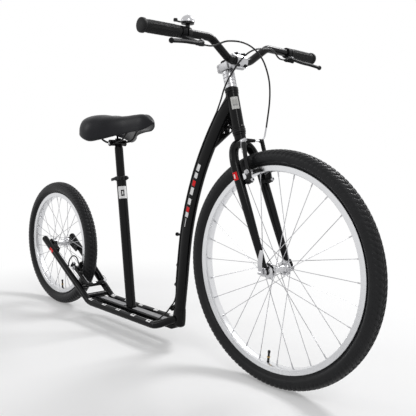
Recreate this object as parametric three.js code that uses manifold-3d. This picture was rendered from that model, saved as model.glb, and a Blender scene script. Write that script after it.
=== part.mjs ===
// A kick bike: a scooter with a large spoked front wheel, a small rear wheel, a low step deck and a saddle.
// Millimetres. x runs forward from the rear axle, y to the rider's left and z up from the ground.
import * as THREE from "three";
import { mergeVertices } from "three/addons/utils/BufferGeometryUtils.js";
import Module from "manifold-3d";

const wasm = await Module();
wasm.setup();

// ---- Driving dimensions ----
const wheelbase = 1172;
const clearance = 0.35;
const overrun = 40;
const weldShare = 1e-6;
const smoothShare = 3e-6;

// Wheels. Profile tables are shares: [share of the half width, share of the height above the rim edge].
const tyreWidth = 50;
const rimWidth = 30;
const rimDepth = 18;
const frontWheel = { tyreRadius: 330, rimRadius: 287, sides: 36, crosses: 3, valveAngle: -94.5 };
const rearWheel = { tyreRadius: 254, rimRadius: 209.5, sides: 28, crosses: 2, valveAngle: -86 };
const spokeCount = 28;
const spokeRadius = 1.1;
const valve = { radius: 4, length: 34, sides: 8 };
const tyreOutsideShares = [
  [0.488, -0.205],
  [0.488, 0.03],
  [0.93, 0.28],
  [1, 0.6],
  [0.7, 0.88],
  [0.22, 1],
];
const tyreInsideShares = [
  [0.22, 0.86],
  [0.78, 0.56],
  [0.4, 0.03],
  [0.36, -0.205],
];
const innerTubeShares = [
  [0, 0.8],
  [0.56, 0.5],
  [0.28, 0.06],
];
const rimShares = [
  [1, 1],
  [1, 0.12],
  [0.55, 0],
  [-0.55, 0],
  [-1, 0.12],
  [-1, 1],
  [-0.83, 1],
  [-0.83, 0.45],
  [0.83, 0.45],
  [0.83, 1],
];
const frontHub = { half: 45, flange: 34, flangeRadius: 22, noseRadius: 12, bore: 5.4, barrel: 11 };
const rearHub = { half: 35, flange: 26, flangeRadius: 22, noseRadius: 12, bore: 5.4, barrel: 12 };
const flangeThickness = 3.4;
const axleRadius = 4.8;

// Front fork and steering, on the steering axis; the origin is the middle of the head tube.
const headAngle = 74;
const forkRake = 47;
const forkDrop = 469.2;
const headTube = { length: 112, radius: 18, bore: 16.6 };
const cup = { height: 11, radius: 20, skirtRadius: 16.2, skirt: 10, bore: 15 };
const steererRadius = 14.3;
const crown = { raceRadius: 18.8, race: 5, radius: 17, depth: 36 };
const blade = { spread: 50.5, radius: 13.5, tipRadius: 9, top: 101, straight: 190, end: 452 };
const forkEnd = { thickness: 6, radius: 13, slot: 10.4, inside: 50 };
const spacer = { count: 5, height: 9, gap: 1.2, radius: 18, neckRadius: 16.6 };
const stemClamp = { height: 26, width: 36, rear: 26, bore: 14.65 };
const topCap = { radius: 17.5, thickness: 5 };
const barClamp = { reach: 48, width: 42, radius: 18, bore: 13.1, split: 2, boltSpread: 15, boltHeight: 17 };
const stemArm = { width: 30, height: 24 };
const boltRadius = 3.4;

// Handlebar, seen from the bar clamp.
const bar = {
  radius: 11.1,
  sleeveRadius: 12.7,
  sleeve: 30,
  rise: 47,
  lead: 16,
  bendIn: 41,
  bendOut: 116,
  bend: 34,
};
const gripStart = 226;
const barHalf = 346;
const sweepAngle = 2;
const grip = { bore: 11.5, radius: 16.6, endRadius: 21, flange: 8, cap: 3 };

// Brake levers: distance from the bar, and distance inboard of the grip.
const leverTilt = 48;
const leverRing = { start: 3, width: 15, radius: 16, bore: 11.5 };
const leverPivot = { reach: 49, inboard: 42 };
const leverTip = { reach: 75, outboard: 74 };
const leverBlade = { width: 10, thickness: 6, tipRadius: 7, hubRadius: 8, pinRadius: 2.5 };
const adjuster = { radius: 4.5, length: 24 };

// Bell on the right, just inboard of the brake lever.
const bell = { inboard: 29, width: 12, ringRadius: 15, height: 22, baseRadius: 17, base: 5, domeRadius: 19 };
const striker = { length: 38, width: 9, thickness: 3 };

// Brakes, seen from each wheel's axle: out along the fork or stay, and forward of it.
const post = { radius: 4, out: 42, start: 6, end: 39, headRadius: 6, head: 4 };
const brakeBoss = { radius: 8, bore: 4.5, start: 21, end: 38 };
const armBar = { centre: 30, width: 10, thickness: 8, length: 114, top: 39, bow: 42.5 };
const pad = { length: 52, height: 8, outside: 29.4, drop: 2, studRadius: 4, washerRadius: 7.5 };
// The bent pipe and boot that link the two arms, and how far each pad's face stands from the wheel's middle.
const frontLink = {
  side: 1,
  radius: 2.4,
  across: 3,
  out: 48,
  tail: 36,
  lean: 16,
  bend: 18,
  bootEnd: 6,
  padInside: 16.7,
};
const rearLink = {
  side: -1,
  radius: 2.4,
  across: 6,
  out: 30,
  tail: -50,
  lean: 0,
  bend: 14,
  bootEnd: -2,
  padInside: 16.4,
};
const boot = { bore: 5, radius: 6.6 };
const frontPivotDrop = 34;
const rearPivotDrop = 31.5;

// Frame.
const mainTube = { depth: 42, width: 30, sides: 12 };
const mainTubeRoute = [
  [760, 62],
  [771, 154],
  [780, 235],
  [788, 316],
  [798, 390],
  [812, 455],
  [831, 520],
  [856, 588],
  [884, 648],
  [914, 702],
  [948, 756],
  [990, 812],
];
const mainTubeFoot = { x: 740, z: 70, angle: 25 };
const gusset = { thickness: 5, corners: [[905, 652], [996, 714], [984, 790], [950, 750]] };
const gussetHoles = [
  { x: 972, z: 728, radius: 3 },
  { x: 980, z: 712, radius: 5.5 },
  { x: 955, z: 706, radius: 3.4 },
];
const bosses = [
  { x: 762, z: 277 },
  { x: 754, z: 211 },
];
const boss = { radius: 6, length: 10 };
const cablePeg = { x: 762, z: 378, length: 18, radius: 4 };
const cableStop = { x: 738, z: 131, length: 16, radius: 9 };
const sideTubeRadius = 12.5;
const sideTubeBend = 62;
const sideTubeRoute = [
  [-24, 63, 279],
  [305, 53, 70.5],
  [702, 50, 70.5],
  [774, 12, 106],
];
const dropout = { inside: 40, thickness: 5, radius: 15, slot: 10.4, reach: 62, width: 24 };
const beam = { rear: 268, front: 748, width: 40, height: 20, top: 83 };
const crossbar = { x: 272, z: 84, radius: 10 };
const stayBridge = { x: 235, z: 115, radius: 7 };
const strip = { width: 26, thickness: 1.2, rear: [318, 472], front: [522, 702] };

// Seat, on the seat tube axis; the origin is the foot of the tube on the deck beam.
const seatFoot = { x: 500, lean: 8.3 };
const seatTube = { length: 474, radius: 17.5, bore: 15.6 };
const collar = { height: 16, radius: 21.4, ear: 27, earWidth: 11, boltRadius: 4 };
const saddle = { rear: 279, nose: 617, base: 690 };
const seatPost = { start: 270, belowSaddle: 112, neckLength: 34, radius: 15.2, neckRadius: 11 };
seatPost.shoulder = saddle.base - seatPost.belowSaddle;
seatPost.end = seatPost.shoulder + seatPost.neckLength;
const collarLever = { length: 44, width: 12, thickness: 5 };
const railSpread = 22;
const railRadius = 3.5;
// Rail heights are over the saddle's base.
const railRoute = [
  [344, 40, 32],
  [351, 39, 12],
  [360, 34, -5],
  [374, 26, -15],
  [440, 22, -14],
  [462, 22, -10],
  [500, 18, 22],
  [522, 9, 36],
];
const railNose = { x: 530, z: 38 };
const clampBlock = { x: 408, belowSaddle: 16, length: 36, width: 58, height: 14, jawHeight: 9 };
// Saddle stations from the tail to the nose: half width, top, underside and skirt heights over the base.
const saddleStations = [
  { width: 58, top: 60, under: 26, skirt: 14 },
  { width: 105, top: 80, under: 26, skirt: -2 },
  { width: 107, top: 83, under: 26, skirt: -16 },
  { width: 88, top: 79, under: 25, skirt: -10 },
  { width: 60, top: 76, under: 24, skirt: 2 },
  { width: 42, top: 77, under: 24, skirt: 12 },
  { width: 34, top: 80, under: 25, skirt: 19 },
  { width: 29, top: 80, under: 28, skirt: 23 },
  { width: 22, top: 64, under: 32, skirt: 28 },
];

// Cables: points chosen along the real route.
const cable = { radius: 2.4, sides: 6 };
const frontCableRoute = [
  [1040, -75, 950],
  [1050, -38, 951],
  [1057, -6, 943],
  [1063, 14, 930],
  [1070, 31, 909],
  [1076, 42, 882],
  [1081, 49, 850],
  [1083, 51, 816],
  [1082, 51, 784],
];
const rearUpperCableRoute = [
  [1048, 95, 948],
  [1051, 55, 945],
  [1052, 18, 938],
  [1051, -14, 922],
  [1043, -35, 899],
  [1024, -42, 872],
  [1004, -42, 848],
  [984, -36, 824],
  [964, -25, 802],
];
const cableAside = 10;
const deckCableRoute = [
  [734, -11, 134],
  [720, -14, 116],
  [704, -22, 98],
  [684, -28, 80],
  [660, -30, 68],
  [560, -30, 66],
  [440, -30, 66],
  [330, -31, 66],
  [290, -39, 64],
  [260, -49, 76],
  [236, -54, 95],
  [190, -55, 124],
  [158, -53, 144],
  [140, -46, 156],
  [131, -41, 174],
  [134, -40, 196],
  [146, -39, 214],
  [164, -37, 225],
  [183, -35, 221],
  [196, -35, 206],
  [203, -34, 188],
];

// ---- Materials ----
function paint(colour, roughness, metalness) {
  return new THREE.MeshStandardMaterial({ color: colour, roughness, metalness });
}
const blackPaint = paint(0x17171a, 0.38, 0.2);
const blackPlastic = paint(0x1b1b1d, 0.6, 0);
const rubber = paint(0x1f1f21, 0.85, 0);
const polished = paint(0xc9cacc, 0.25, 1);
const brushed = paint(0xb8b9bb, 0.4, 1);
const blackMetal = paint(0x202022, 0.4, 0.8);
const leatherette = paint(0x1a1b22, 0.5, 0);
const gripTape = paint(0x8d8e92, 0.9, 0);

// ---- Helpers ----
const point = (x, y, z) => new THREE.Vector3(x, y, z);
const radians = THREE.MathUtils.degToRad;

// A route whose cross-sections stand exactly at the listed points.
class Route extends THREE.Curve {
  constructor(points) {
    super();
    this.points = points;
  }
  getPoint(share, target = new THREE.Vector3()) {
    const last = this.points.length - 1;
    const place = share * last;
    const first = Math.min(Math.floor(place), last - 1);
    return target.lerpVectors(this.points[first], this.points[first + 1], place - first);
  }
  getPointAt(share, target) {
    return this.getPoint(share, target);
  }
  getTangentAt(share, target = new THREE.Vector3()) {
    const last = this.points.length - 1;
    const here = Math.round(share * last);
    target.set(0, 0, 0);
    for (const first of [here - 1, here]) {
      if (first < 0 || first >= last) continue;
      target.add(point(0, 0, 0).subVectors(this.points[first + 1], this.points[first]).normalize());
    }
    return target.normalize();
  }
}

// Corners of a bent tube, each rounded off in a few steps.
function rounded(corners, bendRadius, steps) {
  const points = [corners[0]];
  for (let i = 1; i < corners.length - 1; i += 1) {
    const back = point(0, 0, 0).subVectors(corners[i - 1], corners[i]);
    const on = point(0, 0, 0).subVectors(corners[i + 1], corners[i]);
    const angle = Math.PI - back.angleTo(on);
    const reach = bendRadius * Math.tan(angle / 2);
    const start = corners[i].clone().addScaledVector(back.normalize(), reach);
    const end = corners[i].clone().addScaledVector(on.normalize(), reach);
    points.push(...new THREE.QuadraticBezierCurve3(start, corners[i], end).getPoints(steps));
  }
  points.push(corners[corners.length - 1]);
  return points;
}

// A bar of oval or box section along the points: half its size across the route's plane, and within it.
function swept(points, across, within, sides, turn = 0) {
  const outline = [];
  for (let i = 0; i < sides; i += 1) {
    const angle = (2 * Math.PI * (i + turn)) / sides;
    outline.push(new THREE.Vector2(across * Math.cos(angle), within * Math.sin(angle)));
  }
  return new THREE.ExtrudeGeometry(new THREE.Shape(outline), {
    steps: points.length - 1,
    extrudePath: new Route(points),
    bevelEnabled: false,
  });
}

// A round bar from one point to another, which may taper.
function rod(from, to, radius, sides, endRadius = radius) {
  const along = point(0, 0, 0).subVectors(to, from);
  const geometry = new THREE.CylinderGeometry(endRadius, radius, along.length(), sides);
  const turn = new THREE.Quaternion().setFromUnitVectors(point(0, 1, 0), along.clone().normalize());
  geometry.applyQuaternion(turn);
  return geometry.translate(...from.clone().addScaledVector(along, 1 / 2).toArray());
}

// A piece turned about the y axis from [radius, y] points; a ring's profile closes on itself.
function turned(profile, sides) {
  const points = profile.map(([radius, along]) => new THREE.Vector2(radius, along));
  if (profile[0][0] > 0) points.push(points[0].clone());
  return new THREE.LatheGeometry(points, sides);
}

function block(low, high) {
  const size = point(0, 0, 0).subVectors(high, low);
  const middle = point(0, 0, 0).addVectors(high, low).multiplyScalar(1 / 2);
  return new THREE.BoxGeometry(...size.toArray()).translate(...middle.toArray());
}

// A flat plate in the xz plane, from y = from to y = to.
function plate(corners, from, to) {
  const shape = new THREE.Shape(corners.map(([x, z]) => new THREE.Vector2(x, z)));
  const geometry = new THREE.ExtrudeGeometry(shape, { depth: to - from, bevelEnabled: false });
  return geometry.rotateX(Math.PI / 2).translate(0, to, 0);
}

// A closed geometry as a solid, with its faces turned outwards.
function solidOf(geometry) {
  const bare = geometry.clone();
  bare.deleteAttribute("normal");
  bare.deleteAttribute("uv");
  const merged = mergeVertices(bare, wheelbase * weldShare);
  const index = merged.index.array;
  const at = merged.getAttribute("position");
  const corners = [];
  let volume = 0;
  for (let i = 0; i < index.length; i += 3) {
    const [a, b, c] = [index[i], index[i + 1], index[i + 2]];
    if (a === b || b === c || a === c) continue;
    corners.push(a, b, c);
    const [p, q, r] = [a, b, c].map((n) => point(at.getX(n), at.getY(n), at.getZ(n)));
    volume += p.dot(q.cross(r));
  }
  if (volume < 0) corners.reverse();
  const triVerts = new Uint32Array(corners);
  return new wasm.Manifold(new wasm.Mesh({ numProp: 3, vertProperties: at.array, triVerts }));
}

function geometryOf(solid) {
  const mesh = solid.getMesh();
  const geometry = new THREE.BufferGeometry();
  geometry.setAttribute("position", new THREE.BufferAttribute(mesh.vertProperties, 3));
  geometry.setIndex(new THREE.BufferAttribute(mesh.triVerts, 1));
  return geometry;
}

function joined(...geometries) {
  return geometryOf(geometries.map(solidOf).reduce((all, next) => all.add(next)));
}

function cut(geometry, ...tools) {
  return geometryOf(tools.map(solidOf).reduce((left, tool) => left.subtract(tool), solidOf(geometry)));
}

function piece(name, geometry, material, parent) {
  const solid = solidOf(geometry).asOriginal().simplify(wheelbase * smoothShare);
  const shaped = geometryOf(solid).toNonIndexed();
  shaped.computeVertexNormals();
  const mesh = new THREE.Mesh(shaped, material);
  mesh.name = name;
  parent.add(mesh);
  return mesh;
}

function groupAt(parent, x, y, z, tilt = 0) {
  const group = new THREE.Group();
  group.position.set(x, y, z);
  group.rotation.y = tilt;
  parent.add(group);
  return group;
}

// A profile given for one half, completed by its mirror image.
function mirrored(half) {
  const other = half.filter(([share]) => share !== 0).map(([share, height]) => [-share, height]);
  return [...half, ...other.reverse()];
}

// ---- Wheels ----
function wheelProfile(wheel, shares) {
  const height = wheel.tyreRadius - wheel.rimRadius;
  return shares.map(([across, up]) => [wheel.rimRadius + up * height, (across * tyreWidth) / 2]);
}

function tyre(name, wheel, parent) {
  const other = (half) => half.map(([across, up]) => [-across, up]).reverse();
  const [outside, inside] = [tyreOutsideShares, tyreInsideShares];
  const shares = [...outside, ...other(outside), ...other(inside), ...inside];
  piece(name, turned(wheelProfile(wheel, shares), wheel.sides), rubber, parent);
}

function valveRod(wheel, radius, from, to) {
  const angle = radians(wheel.valveAngle);
  const way = point(Math.cos(angle), 0, Math.sin(angle));
  return rod(way.clone().multiplyScalar(from), way.clone().multiplyScalar(to), radius, valve.sides);
}

function innerTube(name, wheel, parent) {
  const ring = turned(wheelProfile(wheel, mirrored(innerTubeShares)), wheel.sides);
  const root = wheel.rimRadius + (wheel.tyreRadius - wheel.rimRadius) / 3;
  const tip = wheel.rimRadius - rimDepth - valve.length;
  piece(name, joined(ring, valveRod(wheel, valve.radius, root, tip)), rubber, parent);
}

function rim(name, wheel, parent) {
  const inner = wheel.rimRadius - rimDepth;
  const profile = rimShares.map(([across, up]) => [inner + up * rimDepth, (across * rimWidth) / 2]);
  const hole = valveRod(wheel, valve.radius + clearance, inner - rimDepth, wheel.rimRadius + rimDepth);
  piece(name, cut(turned(profile, wheel.sides), hole), brushed, parent);
}

function hub(name, size, parent) {
  const { half, flange, flangeRadius, noseRadius, bore, barrel } = size;
  const thick = flangeThickness / 2;
  const profile = [
    [bore, half],
    [noseRadius, half],
    [noseRadius, flange + thick],
    [flangeRadius, flange + thick],
    [flangeRadius, flange - thick],
    [barrel, flange - thick],
    [barrel, thick - flange],
    [flangeRadius, thick - flange],
    [flangeRadius, -flange - thick],
    [noseRadius, -flange - thick],
    [noseRadius, -half],
    [bore, -half],
  ];
  piece(name, turned(profile, 12), polished, parent);
}

// The spokes of one side touch where they cross, as on the real wheel.
function spokes(name, wheel, size, side, parent) {
  const pitch = (4 * Math.PI) / spokeCount;
  const first = radians(wheel.valveAngle) + (side > 0 ? pitch / 4 : -pitch / 4);
  const start = size.flangeRadius + spokeRadius + clearance;
  const end = (wheel.rimRadius - rimDepth) * Math.cos(Math.PI / wheel.sides) - clearance * 2;
  const rods = [];
  for (let i = 0; i < spokeCount / 2; i += 1) {
    const atHub = first + i * pitch;
    const atRim = atHub + (i % 2 ? -1 : 1) * wheel.crosses * pitch;
    const from = point(start * Math.cos(atHub), side * size.flange, start * Math.sin(atHub));
    const to = point(end * Math.cos(atRim), side * spokeRadius * 2, end * Math.sin(atRim));
    rods.push(rod(from, to, spokeRadius, 3));
  }
  piece(name, joined(...rods), polished, parent);
}

function wheelSet(end, wheel, size, x, bike) {
  const centre = groupAt(bike, x, 0, wheel.tyreRadius);
  tyre(`${end}_tyre`, wheel, centre);
  innerTube(`${end}_inner_tube`, wheel, centre);
  rim(`${end}_rim`, wheel, centre);
  hub(`${end}_hub`, size, centre);
  spokes(`${end}_spokes_left`, wheel, size, 1, centre);
  spokes(`${end}_spokes_right`, wheel, size, -1, centre);
  return centre;
}

// ---- Axles ----
function frontAxle(centre) {
  const inside = forkEnd.inside;
  const outside = inside + forkEnd.thickness + clearance;
  const lock = frontHub.noseRadius - flangeThickness;
  const nut = frontHub.noseRadius;
  const end = frontHub.half + clearance;
  const profile = [
    [0, outside + frontHub.noseRadius],
    [nut * 0.6, outside + frontHub.noseRadius],
    [nut, outside],
    [axleRadius, outside],
    [axleRadius, inside - clearance],
    [lock, inside - clearance],
    [lock, end],
    [axleRadius, end],
    [axleRadius, -end],
    [lock, -end],
    [lock, clearance - inside],
    [axleRadius, clearance - inside],
    [axleRadius, -outside],
    [nut, -outside],
    [nut, -outside - forkEnd.thickness],
    [0, -outside - forkEnd.thickness],
  ];
  piece("front_axle", turned(profile, 10), polished, centre);
}

// The quick-release lever turns about its round cam; closed, it lies up along the fork.
function axleLever(centre) {
  const width = frontHub.noseRadius;
  const middle = -(forkEnd.inside + forkEnd.thickness * 2 + clearance * 2 + width / 2);
  const cam = rod(point(-width / 2, middle, 0), point(width / 2, middle, 0), width / 2, 12);
  const route = [
    point(0, middle, 0),
    point(0, middle - width * 0.3, frontHub.flangeRadius),
    point(0, middle, frontHub.flangeRadius * 2),
    point(0, middle + width * 0.2, frontHub.flangeRadius * 2.7),
  ];
  const handle = swept(route, width * 0.7, width * 0.3, 4, 1 / 2);
  piece("front_axle_lever", joined(cam, handle), polished, centre);
}

function rearAxle(centre) {
  const inside = dropout.inside;
  const outside = inside + dropout.thickness + clearance;
  const lock = rearHub.noseRadius - flangeThickness;
  const end = rearHub.half + clearance;
  const tip = outside + dropout.thickness * 0.7;
  const half = [
    [axleRadius, tip],
    [lock, tip],
    [lock, outside],
    [axleRadius, outside],
    [axleRadius, inside - clearance],
    [lock, inside - clearance],
    [lock, end],
    [axleRadius, end],
  ];
  const other = half.map(([radius, along]) => [radius, -along]).reverse();
  piece("rear_axle", turned([[0, tip], ...half, ...other, [0, -tip]], 10), polished, centre);
}

// ---- Steering ----
const upperCup = headTube.length / 2 + clearance;
const stackStart = upperCup + cup.height + clearance;
const stackHeight = spacer.count * (spacer.height + spacer.gap);
const stemStart = stackStart + stackHeight + clearance;
const stemEnd = stemStart + stemClamp.height;
const barHeight = stemStart + stemClamp.height / 2;
const crownTop = -(headTube.length / 2 + cup.height + clearance * 2);

const upright = (geometry) => geometry.rotateX(Math.PI / 2);

function headset(frame) {
  const ring = (sign) => {
    const end = headTube.length / 2;
    const profile = [
      [cup.bore, sign * (end + clearance + cup.height)],
      [cup.radius, sign * (end + clearance + cup.height)],
      [cup.radius, sign * (end + clearance)],
      [cup.skirtRadius, sign * (end + clearance)],
      [cup.skirtRadius, sign * (end - cup.skirt)],
      [cup.bore, sign * (end - cup.skirt)],
    ];
    return upright(turned(profile, 16));
  };
  piece("headset_cup_upper", ring(1), blackMetal, frame);
  piece("headset_cup_lower", ring(-1), blackMetal, frame);
}

function headTubePiece(frame) {
  const end = headTube.length / 2;
  const profile = [
    [headTube.bore, end],
    [headTube.radius, end],
    [headTube.radius, -end],
    [headTube.bore, -end],
  ];
  piece("head_tube", upright(turned(profile, 16)), blackPaint, frame);
}

function forkSteerer(steering) {
  const profile = [
    [0, stemEnd - clearance],
    [steererRadius, stemEnd - clearance],
    [steererRadius, crownTop],
    [crown.raceRadius, crownTop],
    [crown.raceRadius, crownTop - crown.race],
    [crown.radius, crownTop - crown.race],
    [crown.radius, crownTop - crown.race - crown.depth],
    [0, crownTop - crown.race - crown.depth],
  ];
  piece("fork_steerer", upright(turned(profile, 16)), blackPaint, steering);
}

// The line of a blade runs from the crown to the axle; the brake stands upright along the steering axis.
const axlePlace = point(forkRake, 0, -forkDrop);
const frontPivot = frontWheel.rimRadius - frontPivotDrop;
const rearPivot = rearWheel.rimRadius - rearPivotDrop;

function onBlade(side, down) {
  const share = (down - blade.top) / (forkDrop - blade.top);
  return point(forkRake * share, side * blade.spread, -down);
}

const frontLift = onBlade(1, forkDrop - frontPivot).x - forkRake;

function brakePost(way, forward, side, lift, pivot) {
  const at = (out) =>
    point(0, side * post.out, 0).addScaledVector(way, pivot).addScaledVector(forward, lift + out);
  const bar = rod(at(post.start), at(post.end + post.head), post.radius, 8);
  const head = rod(at(post.end), at(post.end + post.head), post.headRadius, 6);
  const foot = at(post.start - post.radius);
  foot.y = side * (post.out + post.radius);
  const bracket = rod(foot, at(post.start + post.radius), post.radius * 1.8, 8);
  return joined(bar, head, bracket);
}

function forkLeg(name, side, steering) {
  const inner = point(0, side * crown.radius / 2, -blade.top);
  const curve = new THREE.QuadraticBezierCurve3(inner, onBlade(side, blade.top), onBlade(side, blade.straight));
  const top = swept(curve.getPoints(6), blade.radius, blade.radius, 10);
  const start = onBlade(side, blade.straight - clearance);
  const lower = rod(start, onBlade(side, blade.end), blade.radius, 10, blade.tipRadius);
  const inside = side * forkEnd.inside;
  const outside = side * (forkEnd.inside + forkEnd.thickness);
  const ends = [Math.min(inside, outside), Math.max(inside, outside)];
  const width = forkEnd.radius;
  const tab = plate(
    [
      [forkRake - width, -forkDrop - width * 0.9],
      [forkRake + width, -forkDrop - width * 0.9],
      [forkRake + width, -forkDrop + width * 0.6],
      [forkRake, -blade.end + width * 1.6],
      [forkRake - width, -forkDrop + width * 1.8],
    ],
    ...ends,
  );
  const slot = block(
    point(forkRake - forkEnd.slot / 2, -overrun * 2, -forkDrop - overrun),
    point(forkRake + forkEnd.slot / 2, overrun * 2, -forkDrop + forkEnd.slot / 2),
  );
  const postBar = brakePost(point(0, 0, 1), point(1, 0, 0), side, frontLift, frontPivot);
  postBar.translate(...axlePlace.toArray());
  const steel = joined(top, lower, tab, postBar);
  const crownHole = rod(
    point(0, 0, crownTop),
    point(0, 0, crownTop - crown.depth - overrun),
    crown.radius + clearance * 2,
    16,
  );
  piece(name, cut(steel, slot, crownHole), blackPaint, steering);
}

function spacerStack(steering) {
  const bore = steererRadius + clearance;
  const profile = [[bore, stackStart]];
  for (let i = 0; i < spacer.count; i += 1) {
    const low = stackStart + i * (spacer.height + spacer.gap);
    profile.push([spacer.radius, low], [spacer.radius, low + spacer.height]);
    if (i < spacer.count - 1) {
      profile.push([spacer.neckRadius, low + spacer.height]);
      profile.push([spacer.neckRadius, low + spacer.height + spacer.gap]);
    }
  }
  profile.push([bore, stackStart + stackHeight - spacer.gap]);
  piece("headset_spacers", upright(turned(profile, 16)), polished, steering);
}

function stemPiece(steering) {
  const ring = block(
    point(-stemClamp.rear, -stemClamp.width / 2, stemStart),
    point(stemClamp.width / 2, stemClamp.width / 2, stemEnd),
  );
  const arm = block(
    point(0, -stemArm.width / 2, barHeight - stemArm.height / 2),
    point(barClamp.reach, stemArm.width / 2, barHeight + stemArm.height / 2),
  );
  const half = barClamp.width / 2;
  const seat = barHole(barClamp.radius, half);
  const lugs = block(
    point(barClamp.reach - barClamp.radius * 0.6, -half, barHeight - barClamp.boltHeight - boltRadius * 1.5),
    point(barClamp.reach, half, barHeight + barClamp.boltHeight + boltRadius * 1.5),
  );
  const bore = rod(point(0, 0, stemStart - overrun), point(0, 0, stemEnd + overrun), stemClamp.bore, 16);
  const slit = block(
    point(-overrun, -barClamp.split / 2, stemStart - overrun),
    point(0, barClamp.split / 2, stemEnd + overrun),
  );
  const front = block(
    point(barClamp.reach + barClamp.split / 2, -overrun, barHeight - overrun),
    point(barClamp.reach + overrun * 2, overrun, barHeight + overrun),
  );
  const body = joined(ring, arm, seat, lugs);
  piece("stem", cut(body, bore, slit, front, barHole(barClamp.bore, overrun)), brushed, steering);
}

function barHole(radius, half) {
  return rod(
    point(barClamp.reach, -half, barHeight),
    point(barClamp.reach, half, barHeight),
    radius,
    16,
  );
}

// The faceplate carries its four bolt heads.
function faceplate(steering) {
  const half = barClamp.width / 2;
  const start = barClamp.reach + barClamp.split;
  const shell = barHole(barClamp.radius, half);
  const lugs = block(
    point(start, -half, barHeight - barClamp.boltHeight - boltRadius * 1.5),
    point(start + boltRadius * 2, half, barHeight + barClamp.boltHeight + boltRadius * 1.5),
  );
  const bolts = [];
  for (const y of [-barClamp.boltSpread, barClamp.boltSpread]) {
    for (const z of [-barClamp.boltHeight, barClamp.boltHeight]) {
      const seat = point(start, y, barHeight + z);
      bolts.push(rod(seat, seat.clone().setX(start + boltRadius * 4), boltRadius, 6));
    }
  }
  const back = block(
    point(-overrun, -overrun * 2, -overrun),
    point(start, overrun * 2, barHeight + overrun * 2),
  );
  const cap = joined(shell, lugs, ...bolts);
  piece("stem_faceplate", cut(cap, back, barHole(barClamp.bore, overrun)), brushed, steering);
}

function stemCap(steering) {
  const low = stemEnd + clearance;
  const profile = [
    [0, low],
    [topCap.radius, low],
    [topCap.radius, low + topCap.thickness],
    [0, low + topCap.thickness],
  ];
  piece("stem_top_cap", upright(turned(profile, 16)), blackMetal, steering);
}

// ---- Handlebar and hand controls ----
const sweepShare = Math.tan(radians(sweepAngle));

function barPoint(side, out) {
  return point(bar.lead - sweepShare * (out - bar.bendOut), side * out, bar.rise);
}

function handlebar(steering) {
  const corners = [
    barPoint(-1, barHalf),
    barPoint(-1, bar.bendOut),
    point(0, -bar.bendIn, 0),
    point(0, bar.bendIn, 0),
    barPoint(1, bar.bendOut),
    barPoint(1, barHalf),
  ];
  const tube = swept(rounded(corners, bar.bend, 3), bar.radius, bar.radius, 12);
  const sleeve = rod(point(0, -bar.sleeve, 0), point(0, bar.sleeve, 0), bar.sleeveRadius, 16);
  const shape = joined(tube, sleeve).translate(barClamp.reach, 0, barHeight);
  piece("handlebar", shape, blackPaint, steering);
}

// One hand's frame: its origin is on the bar at the inner end of the grip and y runs along the bar.
function handGroup(side, steering) {
  const at = barPoint(side, gripStart);
  const hand = groupAt(steering, at.x + barClamp.reach, at.y, at.z + barHeight);
  hand.rotation.z = side * radians(sweepAngle);
  return hand;
}

function handGrip(name, side, hand) {
  const length = (barHalf - gripStart) / Math.cos(radians(sweepAngle));
  const end = length + clearance;
  const profile = [
    [grip.bore, 0],
    [grip.radius, 0],
    [grip.radius, end - grip.flange],
    [grip.endRadius, end - grip.flange],
    [grip.endRadius, end + grip.cap],
    [0, end + grip.cap],
    [0, end],
    [grip.bore, end],
  ];
  const shell = turned(profile.map(([radius, along]) => [radius, side * along]), 14);
  piece(name, shell, rubber, hand);
}

function leverBracket(name, side, lever) {
  const { start, width, radius, bore } = leverRing;
  const ring = rod(point(0, -side * start, 0), point(0, -side * (start + width), 0), radius, 14);
  const below = leverBlade.thickness;
  const root = point(radius * 0.8, -side * (start + width / 2), -below);
  const knee = point(leverPivot.reach * 0.7, -side * leverPivot.inboard * 0.7, -below);
  const end = point(leverPivot.reach + leverBlade.hubRadius * 0.5, -side * leverPivot.inboard, -below);
  const arm = swept([root, knee, end], below * 0.6, leverBlade.hubRadius, 4, 1 / 2);
  const pivotFoot = point(leverPivot.reach, -side * leverPivot.inboard, -below * 1.4);
  const pivotTop = point(leverPivot.reach, -side * leverPivot.inboard, below);
  const pin = rod(pivotFoot, pivotTop, leverBlade.pinRadius, 8);
  const screw = rod(
    adjusterPoint(side, -adjuster.radius),
    adjusterPoint(side, adjuster.length),
    adjuster.radius,
    8,
  );
  const hole = rod(point(0, -overrun, 0), point(0, overrun, 0), bore, 12);
  piece(name, cut(joined(ring, arm, pin, screw), hole), blackMetal, lever);
}

// Where the cable leaves the lever bracket, a distance along its adjusting screw.
function adjusterPoint(side, along) {
  const seat = leverPivot.inboard * 0.9;
  const depth = leverBlade.thickness + adjuster.radius * 0.7;
  return point(leverPivot.reach * 0.84, -side * (seat + along), -depth);
}

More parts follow.
